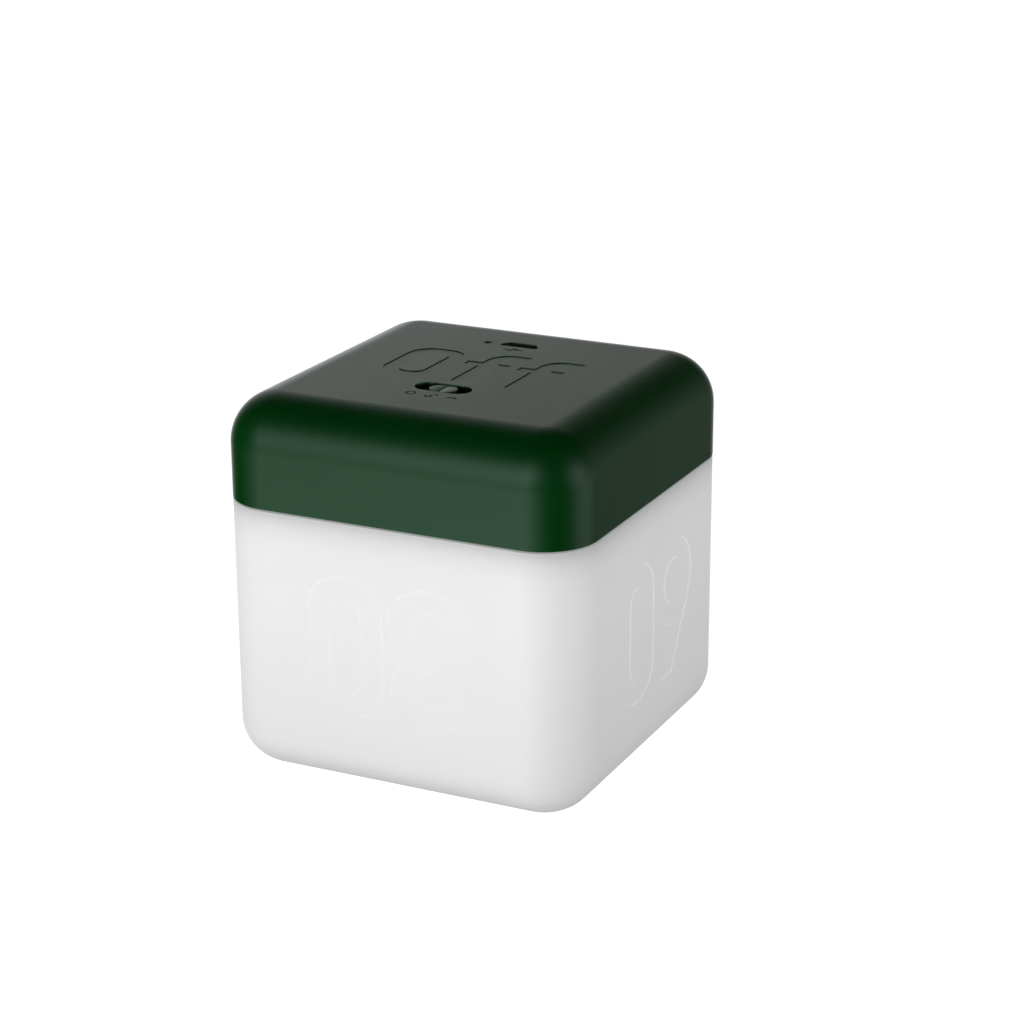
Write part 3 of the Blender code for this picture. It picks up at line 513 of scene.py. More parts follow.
def number_outlines(text):
    """The characters of a two-figure number, each a list of outlines."""
    centres = (-NUMBER_HALF_PITCH, NUMBER_HALF_PITCH)
    return [moved(FIGURES[mark](), centre, 0) for mark, centre in zip(text, centres)]



def cap_characters():
    """The word on the cap and its icons: a ring, a note, a dome and a lightning flash."""
    word = [moved(letter_o(), -12.4, 0), moved(letter_f(), -1.75, 0), moved(letter_f(), 9.65, -0.1)]
    ring = [circle(1.05, step=12), circle(0.68, step=12)]
    head = (-0.35, -0.55)
    flag = [(0.42, 0.6), (1.15, 0.35), (1.15, 0.8), (0.42, 1.15)]
    note = [arc(head, 0.78, 10, 350, 20) + flag, circle(0.42, head, 20)]
    dome = [arc((0, -0.7), 1.2, 20, 160, 10) + arc((0, -0.75), 0.75, 160, 20, 10)]
    half = [(2.3, 0.1), (-0.35, 1.0), (0.15, 0.2)]
    bolt = [half + [(-x, -y) for x, y in half]]
    icons = [moved(bolt, -0.4, 16.1)]
    for icon, x in ((ring, -4.6), (note, -0.2), (dome, 4.05)):
        icons.append(moved(icon, x, ICON_ROW))
    return word, icons



# ---- Node helpers ----
FLOAT, VECTOR = "NodeSocketFloat", "NodeSocketVector"


def feed(tree, socket, value):
    """Links a socket to the input, or sets the input to a value."""
    if isinstance(value, bpy.types.NodeSocket):
        tree.links.new(value, socket)
    else:
        socket.default_value = value


def add_node(tree, kind, inputs=None, **attributes):
    """Adds a node, sets its attributes and then its inputs: a value, or a socket to link."""
    made = tree.nodes.new(kind)
    for key, value in attributes.items():
        setattr(made, key, value)
    for key, value in (inputs or {}).items():
        feed(tree, made.inputs[key], value)
    return made


def math(tree, operation, first, second=0.0, clamp=False):
    inputs = {0: first, 1: second}
    return add_node(
        tree, "ShaderNodeMath", inputs, operation=operation, use_clamp=clamp
    ).outputs[0]


def scaled_sum(tree, base, *terms):
    """The base with each (value, factor) term added."""
    for value, factor in terms:
        base = math(tree, "ADD", math(tree, "MULTIPLY", value, factor), base)
    return base


def vector_math(tree, operation, output, *inputs):
    made = add_node(tree, "ShaderNodeVectorMath", dict(enumerate(inputs)), operation=operation)
    return made.outputs[output]


def noise(tree, vector, scale, detail=2.0, roughness=0.5, distortion=0.0):
    inputs = {
        "Vector": vector,
        "Scale": scale,
        "Detail": detail,
        "Roughness": roughness,
        "Distortion": distortion,
    }
    return add_node(tree, "ShaderNodeTexNoise", inputs).outputs[0]


def cells(tree, vector, scale, randomness=1.0, **attributes):
    inputs = {"Vector": vector, "Scale": scale, "Randomness": randomness}
    return add_node(tree, "ShaderNodeTexVoronoi", inputs, **attributes).outputs[0]


def between(tree, value, low, high):
    """Zero at low and one at high, with a straight slope from one to the other."""
    inputs = {"Value": value, "From Min": low, "From Max": high}
    return add_node(tree, "ShaderNodeMapRange", inputs).outputs[0]


def place(tree, vector, **inputs):
    return add_node(tree, "ShaderNodeMapping", {"Vector": vector, **inputs}).outputs[0]


def split(tree, vector):
    return add_node(tree, "ShaderNodeSeparateXYZ", {"Vector": vector}).outputs


def mix_colour(tree, factor, first, second, blend="MIX"):
    made = add_node(
        tree, "ShaderNodeMix", {"Factor": factor}, data_type="RGBA", blend_type=blend
    )
    for socket, value in ((made.inputs[6], first), (made.inputs[7], second)):
        feed(tree, socket, value if isinstance(value, bpy.types.NodeSocket) else (*value, 1.0))
    return made.outputs[2]


def ramp(tree, value, stops):
    """A grey from 0 to 1 read off a list of (value, grey) stops."""
    made = add_node(tree, "ShaderNodeValToRGB", {"Fac": value})
    elements = made.color_ramp.elements
    for number, (position, grey) in enumerate(stops):
        element = elements[number] if number < len(elements) else elements.new(position)
        element.position = position
        element.color = (grey, grey, grey, 1.0)
    return made.outputs["Color"]


def shades(colour, factor):
    return tuple(channel * factor for channel in colour)


# ---- Shared node groups ----
def new_group(name, inputs, outputs):
    """A shader node group with the given inputs (type and default) and float outputs."""
    group = bpy.data.node_groups.new(name, "ShaderNodeTree")
    for key, (kind, default) in inputs.items():
        socket = group.interface.new_socket(key, in_out="INPUT", socket_type=kind)
        if default is not None:
            socket.default_value = default
    for key in outputs:
        group.interface.new_socket(key, in_out="OUTPUT", socket_type=FLOAT)
    given = group.nodes.new("NodeGroupInput").outputs
    return group, given, group.nodes.new("NodeGroupOutput").inputs


def moulded_grain_group():
    """Fine moulded texture with slow drifts of gloss and tone from the flow of the plastic."""
    group, given, result = new_group(
        "Moulded Grain",
        {"Vector": (VECTOR, None), "Grain Size": (FLOAT, 0.0002), "Flow Size": (FLOAT, 0.02)},
        ("Height", "Gloss Drift", "Tone Drift"),
    )
    vector = given["Vector"]
    grain_scale = math(group, "DIVIDE", 1.0, given["Grain Size"])
    fine = noise(group, vector, grain_scale, 3.0, 0.6)
    pits = add_node(
        group,
        "ShaderNodeTexVoronoi",
        {"Vector": vector, "Scale": grain_scale, "Smoothness": 0.8},
        feature="SMOOTH_F1",
    ).outputs[0]
    flow_scale = math(group, "DIVIDE", 1.0, given["Flow Size"])
    flow = noise(group, vector, flow_scale, 4.0, 0.55, 0.6)
    drift = math(group, "SUBTRACT", flow, 0.5)
    patch = noise(group, vector, math(group, "MULTIPLY", flow_scale, 6.0), 5.0, 0.7)
    gloss = math(group, "ADD", drift, math(group, "SUBTRACT", patch, 0.5))
    feed(group, result["Height"], scaled_sum(group, fine, (pits, 0.7)))
    feed(group, result["Gloss Drift"], gloss)
    feed(group, result["Tone Drift"], drift)
    return group


def edge_wear_and_sheen_group():
    """A mask of the outer edges that hands and worktops polish, broken up by noise. The plastic also
    paints these edges lighter, as a painted sheen.
    """
    group, given, result = new_group(
        "Edge Wear",
        {"Vector": (VECTOR, None), "Reach": (FLOAT, 0.5), "Break-up Size": (FLOAT, 0.003)},
        ("Mask",),
    )
    pointiness = add_node(group, "ShaderNodeNewGeometry").outputs["Pointiness"]
    low = math(group, "SUBTRACT", 0.56, math(group, "MULTIPLY", given["Reach"], 0.05))
    edge = between(group, pointiness, low, 0.62)
    scale = math(group, "DIVIDE", 1.0, given["Break-up Size"])
    broken = between(group, noise(group, given["Vector"], scale, 6.0, 0.7), 0.4, 0.62)
    feed(group, result["Mask"], math(group, "MULTIPLY", edge, broken, clamp=True))
    return group


def handling_group():
    """Faint smudges and hairline scratches from use, as two masks."""
    inputs = {"Vector": (VECTOR, None), "Amount": (FLOAT, 0.5)}
    group, given, result = new_group("Handling Marks", inputs, ("Smudge", "Scratch"))
    vector = given["Vector"]
    smudge = between(group, noise(group, vector, 90.0, 5.0, 0.6, 1.2), 0.52, 0.72)
    lines = 0.0
    for number, turn in enumerate((0.35, 1.3, 2.5)):
        along = place(
            group,
            vector,
            Rotation=(turn * 0.7, turn * 0.4, turn),
            Scale=(900.0, 35.0, 900.0),
            Location=(number * 3.7, number * 1.9, 0.0),
        )
        thin = between(group, noise(group, along, 1.0), 0.74, 0.8)
        lines = math(group, "MAXIMUM", thin, lines)
    feed(group, result["Smudge"], math(group, "MULTIPLY", smudge, given["Amount"]))
    feed(group, result["Scratch"], math(group, "MULTIPLY", lines, given["Amount"]))
    return group


def soft_light_group():
    """Light of a soft source in one direction, falling off smoothly round it."""
    group, given, result = new_group(
        "Soft Light",
        {
            "Vector": (VECTOR, None),
            "Direction": (VECTOR, (0, 0, 1)),
            "Tightness": (FLOAT, 8.0),
            "Strength": (FLOAT, 1.0),
            "Base": (FLOAT, 0.0),
        },
        ("Light",),
    )
    facing = vector_math(group, "DOT_PRODUCT", "Value", given["Vector"], given["Direction"])
    off = math(group, "SUBTRACT", facing, 1.0)
    fall = math(group, "EXPONENT", math(group, "MULTIPLY", off, given["Tightness"]))
    light = math(group, "MULTIPLY", fall, given["Strength"])
    feed(group, result["Light"], math(group, "ADD", light, given["Base"]))
    return group


GROUP_MAKERS = {
    "Moulded Grain": moulded_grain_group,
    "Edge Wear": edge_wear_and_sheen_group,
    "Handling Marks": handling_group,
    "Soft Light": soft_light_group,
}


def place_group(tree, name, **inputs):
    """Places one of the shared node groups, building it the first time."""
    made = tree.nodes.new("ShaderNodeGroup")
    made.node_tree = bpy.data.node_groups.get(name) or GROUP_MAKERS[name]()
    for key, value in inputs.items():
        feed(tree, made.inputs[key.replace("_", " ")], value)
    return made.outputs


# ---- Finishes ----
TIN = (0.62, 0.61, 0.58)
STEEL = (0.50, 0.50, 0.50)
BRASS = (0.72, 0.50, 0.20)
GOLD = (0.85, 0.62, 0.26)

FLAT = (1.0, 1.0, 0.0)  # multiplies a vector to leave out its Z

RECESS_REACH = 26.0  # the cap's openings lie within this much of its middle, in millimetres
RECESS_SHADE_DEPTH = 0.3  # painted shade starts this far below the top
RECESS_SHADE_TONES = [(0.0, 1.0), (1.0, 0.12)]  # painted shade: share of the light outside the openings and in them

WALL_SHADE_TONES = [
    # share of the body's height, and the painted shade there: the share of light that its wall gives
    # back, darker towards the base and under the cap's rim
    (0.0, 0.70),
    (0.045, 0.76),
    (0.085, 0.82),
    (0.13, 0.875),
    (0.18, 0.915),
    (0.25, 0.94),
    (0.45, 0.965),
    (0.68, 1.0),
    (0.86, 1.0),
    (0.905, 0.975),
    (0.935, 0.93),
    (0.955, 0.885),
    (0.975, 0.81),
    (0.99, 0.71),
]


class Finish:
    """A material being made: its tree, its Principled BSDF and its Object coordinates."""

    def __init__(self, name, colour, roughness, metallic=0.0, **constants):
        self.material = bpy.data.materials.new(name)
        self.material.use_nodes = True
        self.tree = self.material.node_tree
        self.shader = self.tree.nodes["Principled BSDF"]
        self.colour = colour
        self.roughness = roughness
        self.shader.inputs["Base Color"].default_value = (*colour, 1.0)
        self.shader.inputs["Roughness"].default_value = roughness
        self.shader.inputs["Metallic"].default_value = metallic
        for key, value in constants.items():
            self.shader.inputs[key.replace("_", " ")].default_value = value
        self.vector = add_node(self.tree, "ShaderNodeTexCoord").outputs["Object"]
        # painted shade: a grey that multiplies the plastic's colour, or None
        self.shade = None

    def set(self, key, socket):
        self.tree.links.new(socket, self.shader.inputs[key])

    def bump(self, height, distance, strength=1.0):
        """Raises the surface by the height, in metres where height is one."""
        inputs = {"Height": height, "Distance": distance, "Strength": strength}
        self.set("Normal", add_node(self.tree, "ShaderNodeBump", inputs).outputs[0])

    def roughen(self, *terms):
        """Roughness that varies round the finish's own by (value, factor) terms."""
        self.set("Roughness", scaled_sum(self.tree, self.roughness, *terms))

    def fade(self, share, colour, dark):
        """The colour where the share is one, and a darker shade of it where it is zero."""
        return mix_colour(self.tree, share, shades(colour, dark), colour)

    def grain(self, size, **inputs):
        return place_group(
            self.tree, "Moulded Grain", Vector=self.vector, Grain_Size=size, **inputs
        )

    def tone(self, texture, level):
        """The drift of tone about the level, as a share from 0 to 1."""
        return math(self.tree, "ADD", texture["Tone Drift"], level, clamp=True)

    def marks(self, amount):
        return place_group(self.tree, "Handling Marks", Vector=self.vector, Amount=amount)

    def centre_on(self, piece):
        """Measures the pattern from the middle of the piece."""
        corners = [Vector(corner) for corner in piece.bound_box]
        middle = sum(corners, Vector()) / len(corners)
        self.vector = place(self.tree, self.vector, Location=-middle)

    def plastic(
        self, grain=0.0002, grain_depth=0.000004, tone=0.12, gloss=0.12, wear=0.5, marks=0.4
    ):
        """Moulded plastic: grain, drifts of tone and gloss, edges polished and painted lighter as a
        sheen, and handling marks.
        """
        tree = self.tree
        texture = self.grain(grain)
        handled = self.marks(marks)
        edges = place_group(tree, "Edge Wear", Vector=self.vector, Reach=wear)["Mask"]
        light = tuple(min(1.0, c * (1 + tone) + 0.002) for c in self.colour)
        dark = shades(self.colour, 1 - tone)
        colour = mix_colour(tree, self.tone(texture, 0.5), dark, light)
        # edges polished by wear, and painted lighter as a painted sheen
        worn = tuple(min(1.0, c * 1.35 + 0.006) for c in self.colour)
        colour = mix_colour(tree, math(tree, "MULTIPLY", edges, wear), colour, worn)
        # painted shade multiplies the colour, and also the colour of the painted glow where the finish
        # glows
        if self.shade:
            colour = mix_colour(tree, 1.0, colour, self.shade, blend="MULTIPLY")
            if self.shader.inputs["Emission Strength"].default_value > 0:
                self.set("Emission Color", colour)
        self.set("Base Color", colour)
        rough = scaled_sum(
            tree,
            self.roughness,
            (texture["Gloss Drift"], gloss),
            (edges, -0.08),
            (handled["Smudge"], 0.06),
            (handled["Scratch"], 0.1),
        )
        self.set("Roughness", math(tree, "MAXIMUM", rough, 0.05))
        self.bump(math(tree, "SUBTRACT", texture["Height"], handled["Scratch"]), grain_depth)
        return self.material

    def metal(self, along=(60.0, 1500.0, 1500.0), tarnish=(0.5, 0.45, 0.38)):
        """Drawn or rolled metal: fine lines along the draw, dull patches and small dents."""
        tree = self.tree
        handled = self.marks(0.8)
        lines = noise(tree, place(tree, self.vector, Scale=along), 1.0, 3.0)
        patches = self.grain(0.0004, Flow_Size=0.004)
        dull = math(
            tree, "MULTIPLY", math(tree, "ADD", patches["Gloss Drift"], 0.35, clamp=True), 0.25
        )
        worn = tuple(channel * share for channel, share in zip(self.colour, tarnish))
        self.set("Base Color", mix_colour(tree, dull, self.colour, worn))
        self.roughen((lines, 0.16), (dull, 0.6), (handled["Smudge"], 0.12))
        self.bump(math(tree, "SUBTRACT", lines, handled["Scratch"]), 0.000003)
        return self.material

    def circuit(self, copper, pad, scale=420.0):
        """A circuit board: tracks under the lacquer, bare pads and holes, and its weave."""
        tree = self.tree
        blocks = cells(tree, self.vector, scale, 0.75, distance="CHEBYCHEV")
        tracks = math(tree, "PINGPONG", math(tree, "MULTIPLY", blocks, 3.0), 0.5)
        tracks = between(tree, tracks, 0.2, 0.26)
        dots = cells(tree, self.vector, scale * 0.8, 0.9)
        pads = between(tree, dots, 0.17, 0.14)
        holes = between(tree, dots, 0.075, 0.06)
        texture = self.grain(0.0003)
        lacquer = mix_colour(tree, tracks, self.colour, copper)
        lacquer = mix_colour(tree, self.tone(texture, 0.2), lacquer, copper)
        colour = mix_colour(tree, pads, lacquer, pad)
        # painted shade: the holes are painted near black, as the shade inside them
        self.set("Base Color", mix_colour(tree, holes, colour, (0.004, 0.004, 0.004)))
        self.set("Metallic", math(tree, "SUBTRACT", pads, holes, clamp=True))
        self.roughen((texture["Gloss Drift"], 0.15))
        raised = scaled_sum(tree, tracks, (pads, 0.5), (holes, -3.0), (texture["Height"], 0.2))
        self.bump(raised, 0.00002)
        return self.material

    def foil(self):
        """Crinkled foil, as on the pouch of a flat cell."""
        tree = self.tree
        folds = cells(tree, self.vector, 260.0, feature="DISTANCE_TO_EDGE")
        slow = noise(tree, self.vector, 110.0, 3.0, distortion=1.0)
        self.set("Base Color", self.fade(slow, self.colour, 0.8))
        self.roughen((self.marks(0.9)["Smudge"], 0.2))
        crease = math(tree, "MINIMUM", folds, 0.12)
        self.bump(scaled_sum(tree, slow, (crease, 3.0)), 0.00015, 0.6)
        return self.material

    def foam(self):
        """Open foam: two sizes of pores."""
        tree = self.tree
        depth = scaled_sum(
            tree, cells(tree, self.vector, 1400.0), (cells(tree, self.vector, 3200.0), 0.5)
        )
        share = math(tree, "MULTIPLY", depth, 1.2, clamp=True)
        # painted shade: the pores are painted darker where they are deep
        self.set("Base Color", self.fade(share, self.colour, 0.35))
        self.roughen((depth, 0.1))
        self.bump(depth, 0.0003)
        return self.material

    def marked_chip(self, half_x, half_y):
        """Dark moulded chip with a round dimple in one corner and three laser-marked rows."""
        tree = self.tree
        axes = split(tree, self.vector)
        texture = self.grain(0.0001)
        corner = (half_x * 0.68, -half_y * 0.68, 0.0)
        away = vector_math(tree, "MULTIPLY_ADD", 0, self.vector, FLAT, corner)
        reach = vector_math(tree, "LENGTH", "Value", away)
        dimple = between(tree, reach, half_x * 0.16, half_x * 0.12)
        rows = math(tree, "PINGPONG", math(tree, "DIVIDE", axes["Y"], half_y * 0.5), 0.5)
        marks = math(tree, "LESS_THAN", rows, 0.14)
        dashes = math(tree, "GREATER_THAN", noise(tree, axes["X"], 2500.0, 1.0), 0.5)
        marks = math(tree, "MULTIPLY", marks, dashes)
        for axis, half in (("X", half_x), ("Y", half_y)):
            distance = math(tree, "ABSOLUTE", axes[axis])
            marks = math(tree, "MULTIPLY", marks, math(tree, "LESS_THAN", distance, half * 0.62))
        self.set("Base Color", mix_colour(tree, marks, self.colour, (0.16, 0.16, 0.155)))
        self.roughen((texture["Gloss Drift"], 0.2), (dimple, -0.25))
        self.bump(scaled_sum(tree, texture["Height"], (dimple, -6.0)), 0.00001)
        return self.material

    def lamp(self, window, lit):
        """A small light: a pale case with a round window of resin in its middle."""
        tree = self.tree
        flat = vector_math(tree, "MULTIPLY", 0, self.vector, FLAT)
        reach = vector_math(tree, "LENGTH", "Value", flat)
        resin = between(tree, reach, window, window * 0.9)
        texture = self.grain(0.0002, Flow_Size=0.001)
        tone = self.tone(texture, 0.5)
        phosphor = self.fade(tone, lit, 0.7)
        self.set("Base Color", mix_colour(tree, resin, self.colour, phosphor))
        self.roughen((resin, -0.25), (texture["Gloss Drift"], 0.1))
        self.bump(scaled_sum(tree, texture["Height"], (resin, -2.0)), 0.00001)
        return self.material

    def contacts(self, pitch, share, metal_colour):
        """Plastic with a row of bare metal strips side by side along X."""
        tree = self.tree
        across = math(tree, "DIVIDE", split(tree, self.vector)["X"], pitch)
        wave = math(tree, "PINGPONG", across, 0.5)
        strip = between(tree, wave, share / 2 + 0.02, share / 2 - 0.02)
        texture = self.grain(0.0001, Flow_Size=0.002)
        tone = self.tone(texture, 0.5)
        bare = self.fade(tone, metal_colour, 0.75)
        self.set("Base Color", mix_colour(tree, strip, self.colour, bare))
        self.set("Metallic", strip)
        self.roughen((texture["Gloss Drift"], 0.2), (strip, -0.15))
        self.bump(scaled_sum(tree, texture["Height"], (strip, 2.0)), 0.000005)
        return self.material


def cap_finish(name="satin green plastic", paint_recess_shade=False):
    """The cap's plastic. With painted recess shade, all that is below its top is painted dark, as
    shade in the openings.
    """
    cap = bpy.context.scene.timer_cap
    made = Finish(name, tuple(cap.colour), cap.roughness, Specular_Tint=(0.76, 1.0, 0.97, 1.0))
    if paint_recess_shade:
        tree = made.tree
        axes = split(tree, made.vector)
        sideways = math(tree, "ABSOLUTE", axes["X"])
        sideways = math(tree, "MAXIMUM", sideways, math(tree, "ABSOLUTE", axes["Y"]))
        within = math(tree, "LESS_THAN", sideways, RECESS_REACH * MM)
        below = math(tree, "LESS_THAN", axes["Z"], (CAP_TOP - RECESS_SHADE_DEPTH) * MM)
        # painted shade: darkens the slot, the port and the pinhole below the top
        made.shade = ramp(tree, math(tree, "MULTIPLY", within, below), RECESS_SHADE_TONES)
    return made.plastic(grain=0.00022, grain_depth=0.000003, tone=0.10, gloss=0.06, marks=0.3)


def body_finish():
    """The body's plastic, with painted shade: the wall is painted darker by its rim under the cap and
    towards its base.
    """
    body = bpy.context.scene.timer_body
    made = Finish(
        "translucent white plastic",
        tuple(body.colour),
        body.roughness,
        Subsurface_Weight=0.2,
        Subsurface_Scale=0.002,
        Subsurface_Radius=(1.0, 0.95, 0.9),
        # painted light: the wall's even glow, not a lamp
        Emission_Strength=body.painted_glow / body.colour[0],
    )
    # painted shade by height: a contact shade at the base and a shadow under the cap
    height = split(made.tree, made.vector)["Z"]
    level = math(made.tree, "DIVIDE", height, BODY_RIM * MM)
    made.shade = ramp(made.tree, level, WALL_SHADE_TONES)
    return made.plastic(
        grain=0.0003, grain_depth=0.000003, tone=0.012, gloss=0.05, wear=0.2, marks=0.2
    )


# ---- Housing ----
def rounded_shell(name, half, levels, radii, wall, open_at_top, segments):
    """A square shell with rounded edges, open at one end, its wall turned inwards.

    levels are its low and high end, and radii those of its upright edges and its closed rim.
    """
    piece = block(name, (-half, -half, levels[0]), (half, half, levels[1]))
    open_level, closed_level = reversed(levels) if open_at_top else levels
    corner, rim = radii
    with editing(piece):
        select(piece, "edges", lambda e: abs(e.verts[0].co.z - e.verts[1].co.z) > 1e-5)
        bpy.ops.mesh.bevel(offset=corner, segments=segments, affect="EDGES")
        select(piece, "edges", lambda e: on_plane(e, 2, closed_level))
        bpy.ops.mesh.bevel(offset=rim, segments=segments, affect="EDGES")
        select(piece, "faces", lambda f: on_plane(f, 2, open_level))
        bpy.ops.mesh.delete(type="FACE")
    apply_modifier(piece, "SOLIDIFY", thickness=wall, offset=-1, use_even_offset=True)
    return piece


def engraving(characters, depth, face):
    """Cutters for characters, each a list of outlines, in the plane that the matrix gives."""
    made = []
    for character in characters:
        cutter = plate("character", character, -depth / MM, depth / MM)
        cutter.matrix_world = face
        made.append(settle(cutter))
    return made


def side_face(turn, shift):
    """The outer plane of one side of the body, its number upside down as it stands.

    turn is the side's angle about Z from the front, and shift moves the number sideways.
    """
    outward = Matrix.Rotation(radians(turn), 4, "Z")
    onto_side = Matrix.Translation(Vector((shift, -BODY_HALF, NUMBER_CENTRE_Z)) * MM)
    upright = Matrix.Rotation(radians(90), 4, "X")
    return outward @ onto_side @ upright @ Matrix.Rotation(radians(180), 4, "Z")


def catch_blocks(reach, length, low, high, inner):
    """Four blocks, one at the middle of each side, from inner out to reach."""
    half = length / 2
    sides = [
        ((-half, inner), (half, reach)),
        ((-half, -reach), (half, -inner)),
        ((inner, -half), (reach, half)),
        ((-reach, -half), (-inner, half)),
    ]
    return [block("catch", (*a, low), (*b, high)) for a, b in sides]


def cover(piece, material):
    """Gives the piece the material in place of all that it had."""
    piece.data.materials.clear()
    piece.data.materials.append(material)



class TIMER_OT_cap(Operator):
    """Builds the cap: a rounded shell with its slot, port, pinhole, posts and engraved marks"""

    bl_idname = "timer.build_cap"
    bl_label = "Build the cap"

    def execute(self, context):
        settings = context.scene.timer_cap
        wall = settings.wall / MM
        ceiling = CAP_TOP - wall
        inner = HALF - wall
        radii = settings.edge_radius, settings.top_radius
        levels = SEAM_HEIGHT, CAP_TOP
        cap = rounded_shell(
            "cap_shell", HALF, levels, radii, settings.wall, False, settings.segments
        )
        posts, pilots = [], []
        for holes, radius, low in (
            (BOARD_HOLES, BOARD_POST_RADIUS, BOARD_TOP),
            (CHASSIS_HOLES, CHASSIS_POST_RADIUS, FLANGE_HIGH),
        ):
            for hole in holes:
                posts.append(rod("post", radius, low + REST_GAP, ceiling + 0.4, hole))
                pilot_end = low + REST_GAP + PILOT_DEPTH
                pilots.append(rod("pilot", PILOT_RADIUS, low - 1, pilot_end, hole, 24))
        combine(cap, posts, "UNION")
        room_x, room_y = SHUTTER_ROOM
        lip_half = inner - LIP_GAP
        word, icons = cap_characters()
        top = Matrix.Translation((0, 0, CAP_TOP * MM))
        cutters = [
            plate("slot", [stadium(SLOT_LENGTH, SLOT_WIDTH, SWITCH)], 70, 80),
            block(
                "shutter room",
                (SWITCH[0] - room_x, SWITCH[1] - room_y, ceiling - 2),
                (SWITCH[0] + room_x, SWITCH[1] + room_y, CAP_TOP - 1.0),
            ),
            plate("port", [port_outline(*PORT_OPENING, PORT)], 70, 80),
            rod("pinhole", LIGHT_HOLE_RADIUS, 70, 80, LIGHT, 48),
        ]
        cutters += pilots
        cutters += catch_blocks(
            lip_half + CATCH_REACH + CATCH_CLEARANCE,
            CATCH_LENGTH + 2 * CATCH_CLEARANCE,
            CATCH_LOW - CATCH_CLEARANCE,
            CATCH_HIGH + CATCH_CLEARANCE,
            inner - 2,
        )
        cutters += engraving(word + icons, settings.word_depth, top)
        combine(cap, cutters, "DIFFERENCE")
        soften(cap, lambda e: on_plane(e, 2, CAP_TOP) and by_opening(e), 0.14)
        soften(cap, lambda e: on_plane(e, 2, CAP_TOP) and not by_opening(e), 0.05)
        soften(cap, lambda e: on_plane(e, 2, SEAM_HEIGHT) and outside(e, HALF - 0.8), 0.22, 3)
        shade(cap)
        cover(cap, cap_finish(paint_recess_shade=True))
        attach(cap, "housing")
        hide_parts("top_cap")
        return {"FINISHED"}


def middle_of(edge):
    return (edge.verts[0].co + edge.verts[1].co) / 2 / MM


def by_opening(edge):
    """Whether the edge lies round one of the cap's openings, not round an engraved mark."""
    middle = middle_of(edge)
    return any(
        abs(middle.x - x) < OPENING_REACH[0] and abs(middle.y - y) < OPENING_REACH[1]
        for x, y in (SWITCH, PORT, LIGHT)
    )


def outside(edge, half):
    """Whether the edge is on the outer side of a rounded square wall."""
    middle = middle_of(edge)
    over = Vector((max(0, abs(middle.x) - CORNER_CENTRE), max(0, abs(middle.y) - CORNER_CENTRE)))
    return over.length > half - CORNER_CENTRE



class TIMER_OT_body(Operator):
    """Builds the lamp body: a rounded shell with its lip, catches and engraved numbers"""

    bl_idname = "timer.build_body"
    bl_label = "Build the lamp body"

    def execute(self, context):
        cap, settings = context.scene.timer_cap, context.scene.timer_body
        step = BODY_STEP * MM
        radii = cap.edge_radius - step, settings.base_radius - step
        levels = 0.0, BODY_RIM
        body = rounded_shell(
            "body_shell", BODY_HALF, levels, radii, settings.wall, True, cap.segments
        )
        corner = (cap.edge_radius - cap.wall) / MM - LIP_GAP
        half = HALF - cap.wall / MM - LIP_GAP
        ring = [
            rounded_rectangle(half, half, corner),
            rounded_rectangle(half - LIP_WALL, half - LIP_WALL, corner - LIP_WALL),
        ]
        extras = [plate("lip", ring, LIP_ROOT, LIP_TOP)]
        extras += catch_blocks(
            half + CATCH_REACH, CATCH_LENGTH, CATCH_LOW, CATCH_HIGH, half - LIP_WALL / 2
        )
        combine(body, extras, "UNION")
        faces = {text: side_face(turn, shift) for text, turn, shift in SIDE_NUMBERS}
        faces["05"] = Matrix.Rotation(radians(180), 4, "X")
        numbers = []
        for text, face in faces.items():
            numbers += engraving(number_outlines(text), settings.number_depth, face)
        combine(body, numbers, "DIFFERENCE")
        soften(body, on_outer_plane, 0.04)
        soften(body, lambda e: on_plane(e, 2, BODY_RIM) and outside(e, BODY_HALF - 0.4), 0.22, 3)
        shade(body)
        cover(body, body_finish())
        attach(body, "housing")
        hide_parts("lower_body")
        return {"FINISHED"}


def on_outer_plane(edge):
    """Whether the edge lies in one of the body's five outer planes."""
    sides = [(0, BODY_HALF), (0, -BODY_HALF), (1, BODY_HALF), (1, -BODY_HALF), (2, 0.0)]
    return any(on_plane(edge, axis, level) for axis, level in sides)


class TIMER_OT_knob(Operator):
    """Builds the slide knob with its grip groove, neck, flange and fork"""

    bl_idname = "timer.build_knob"
    bl_label = "Build the mode knob"

    def execute(self, context):
        low, high = (corner.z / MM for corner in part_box("mode_knob"))
        shutter_low, shutter_high = (corner.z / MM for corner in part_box("dust_shutter"))
        x, y = SWITCH
        flange_high = shutter_low - 0.4
        flange_low = flange_high - 1.0
        head = plate("knob", [stadium(KNOB_LENGTH, KNOB_WIDTH, SWITCH)], shutter_high + 0.2, high)
        soften(head, lambda e: on_plane(e, 2, high), 0.35, 5)
        neck_high, fork_high = shutter_high + 0.5, flange_low + 0.3
        extras = [
            block("neck", (x - 2.0, y - 1.6, flange_high - 0.3), (x + 2.0, y + 1.6, neck_high)),
            block("flange", (x - 4.5, y - 3.0, flange_low), (x + 4.5, y + 3.0, flange_high)),
            block("fork", (x - 2.4, y - 1.3, low), (x - 1.2, y + 1.3, fork_high)),
            block("fork", (x + 1.2, y - 1.3, low), (x + 2.4, y + 1.3, fork_high)),
        ]
        combine(head, extras, "UNION")
        groove = block("groove", (x - 0.16, y - 4, high - 0.4), (x + 0.16, y + 4, high + 1))
        combine(head, [groove], "DIFFERENCE")
        soften(head, lambda e: on_plane(e, 2, high), 0.06)
        head.name = "slide_knob"
        shade(head)
        cover(head, cap_finish("satin green knob"))
        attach(head, "mode_slider")
        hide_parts("mode_knob")
        return {"FINISHED"}


def names(stem, count):
    return [f"{stem}_{number}" for number in range(1, count + 1)]


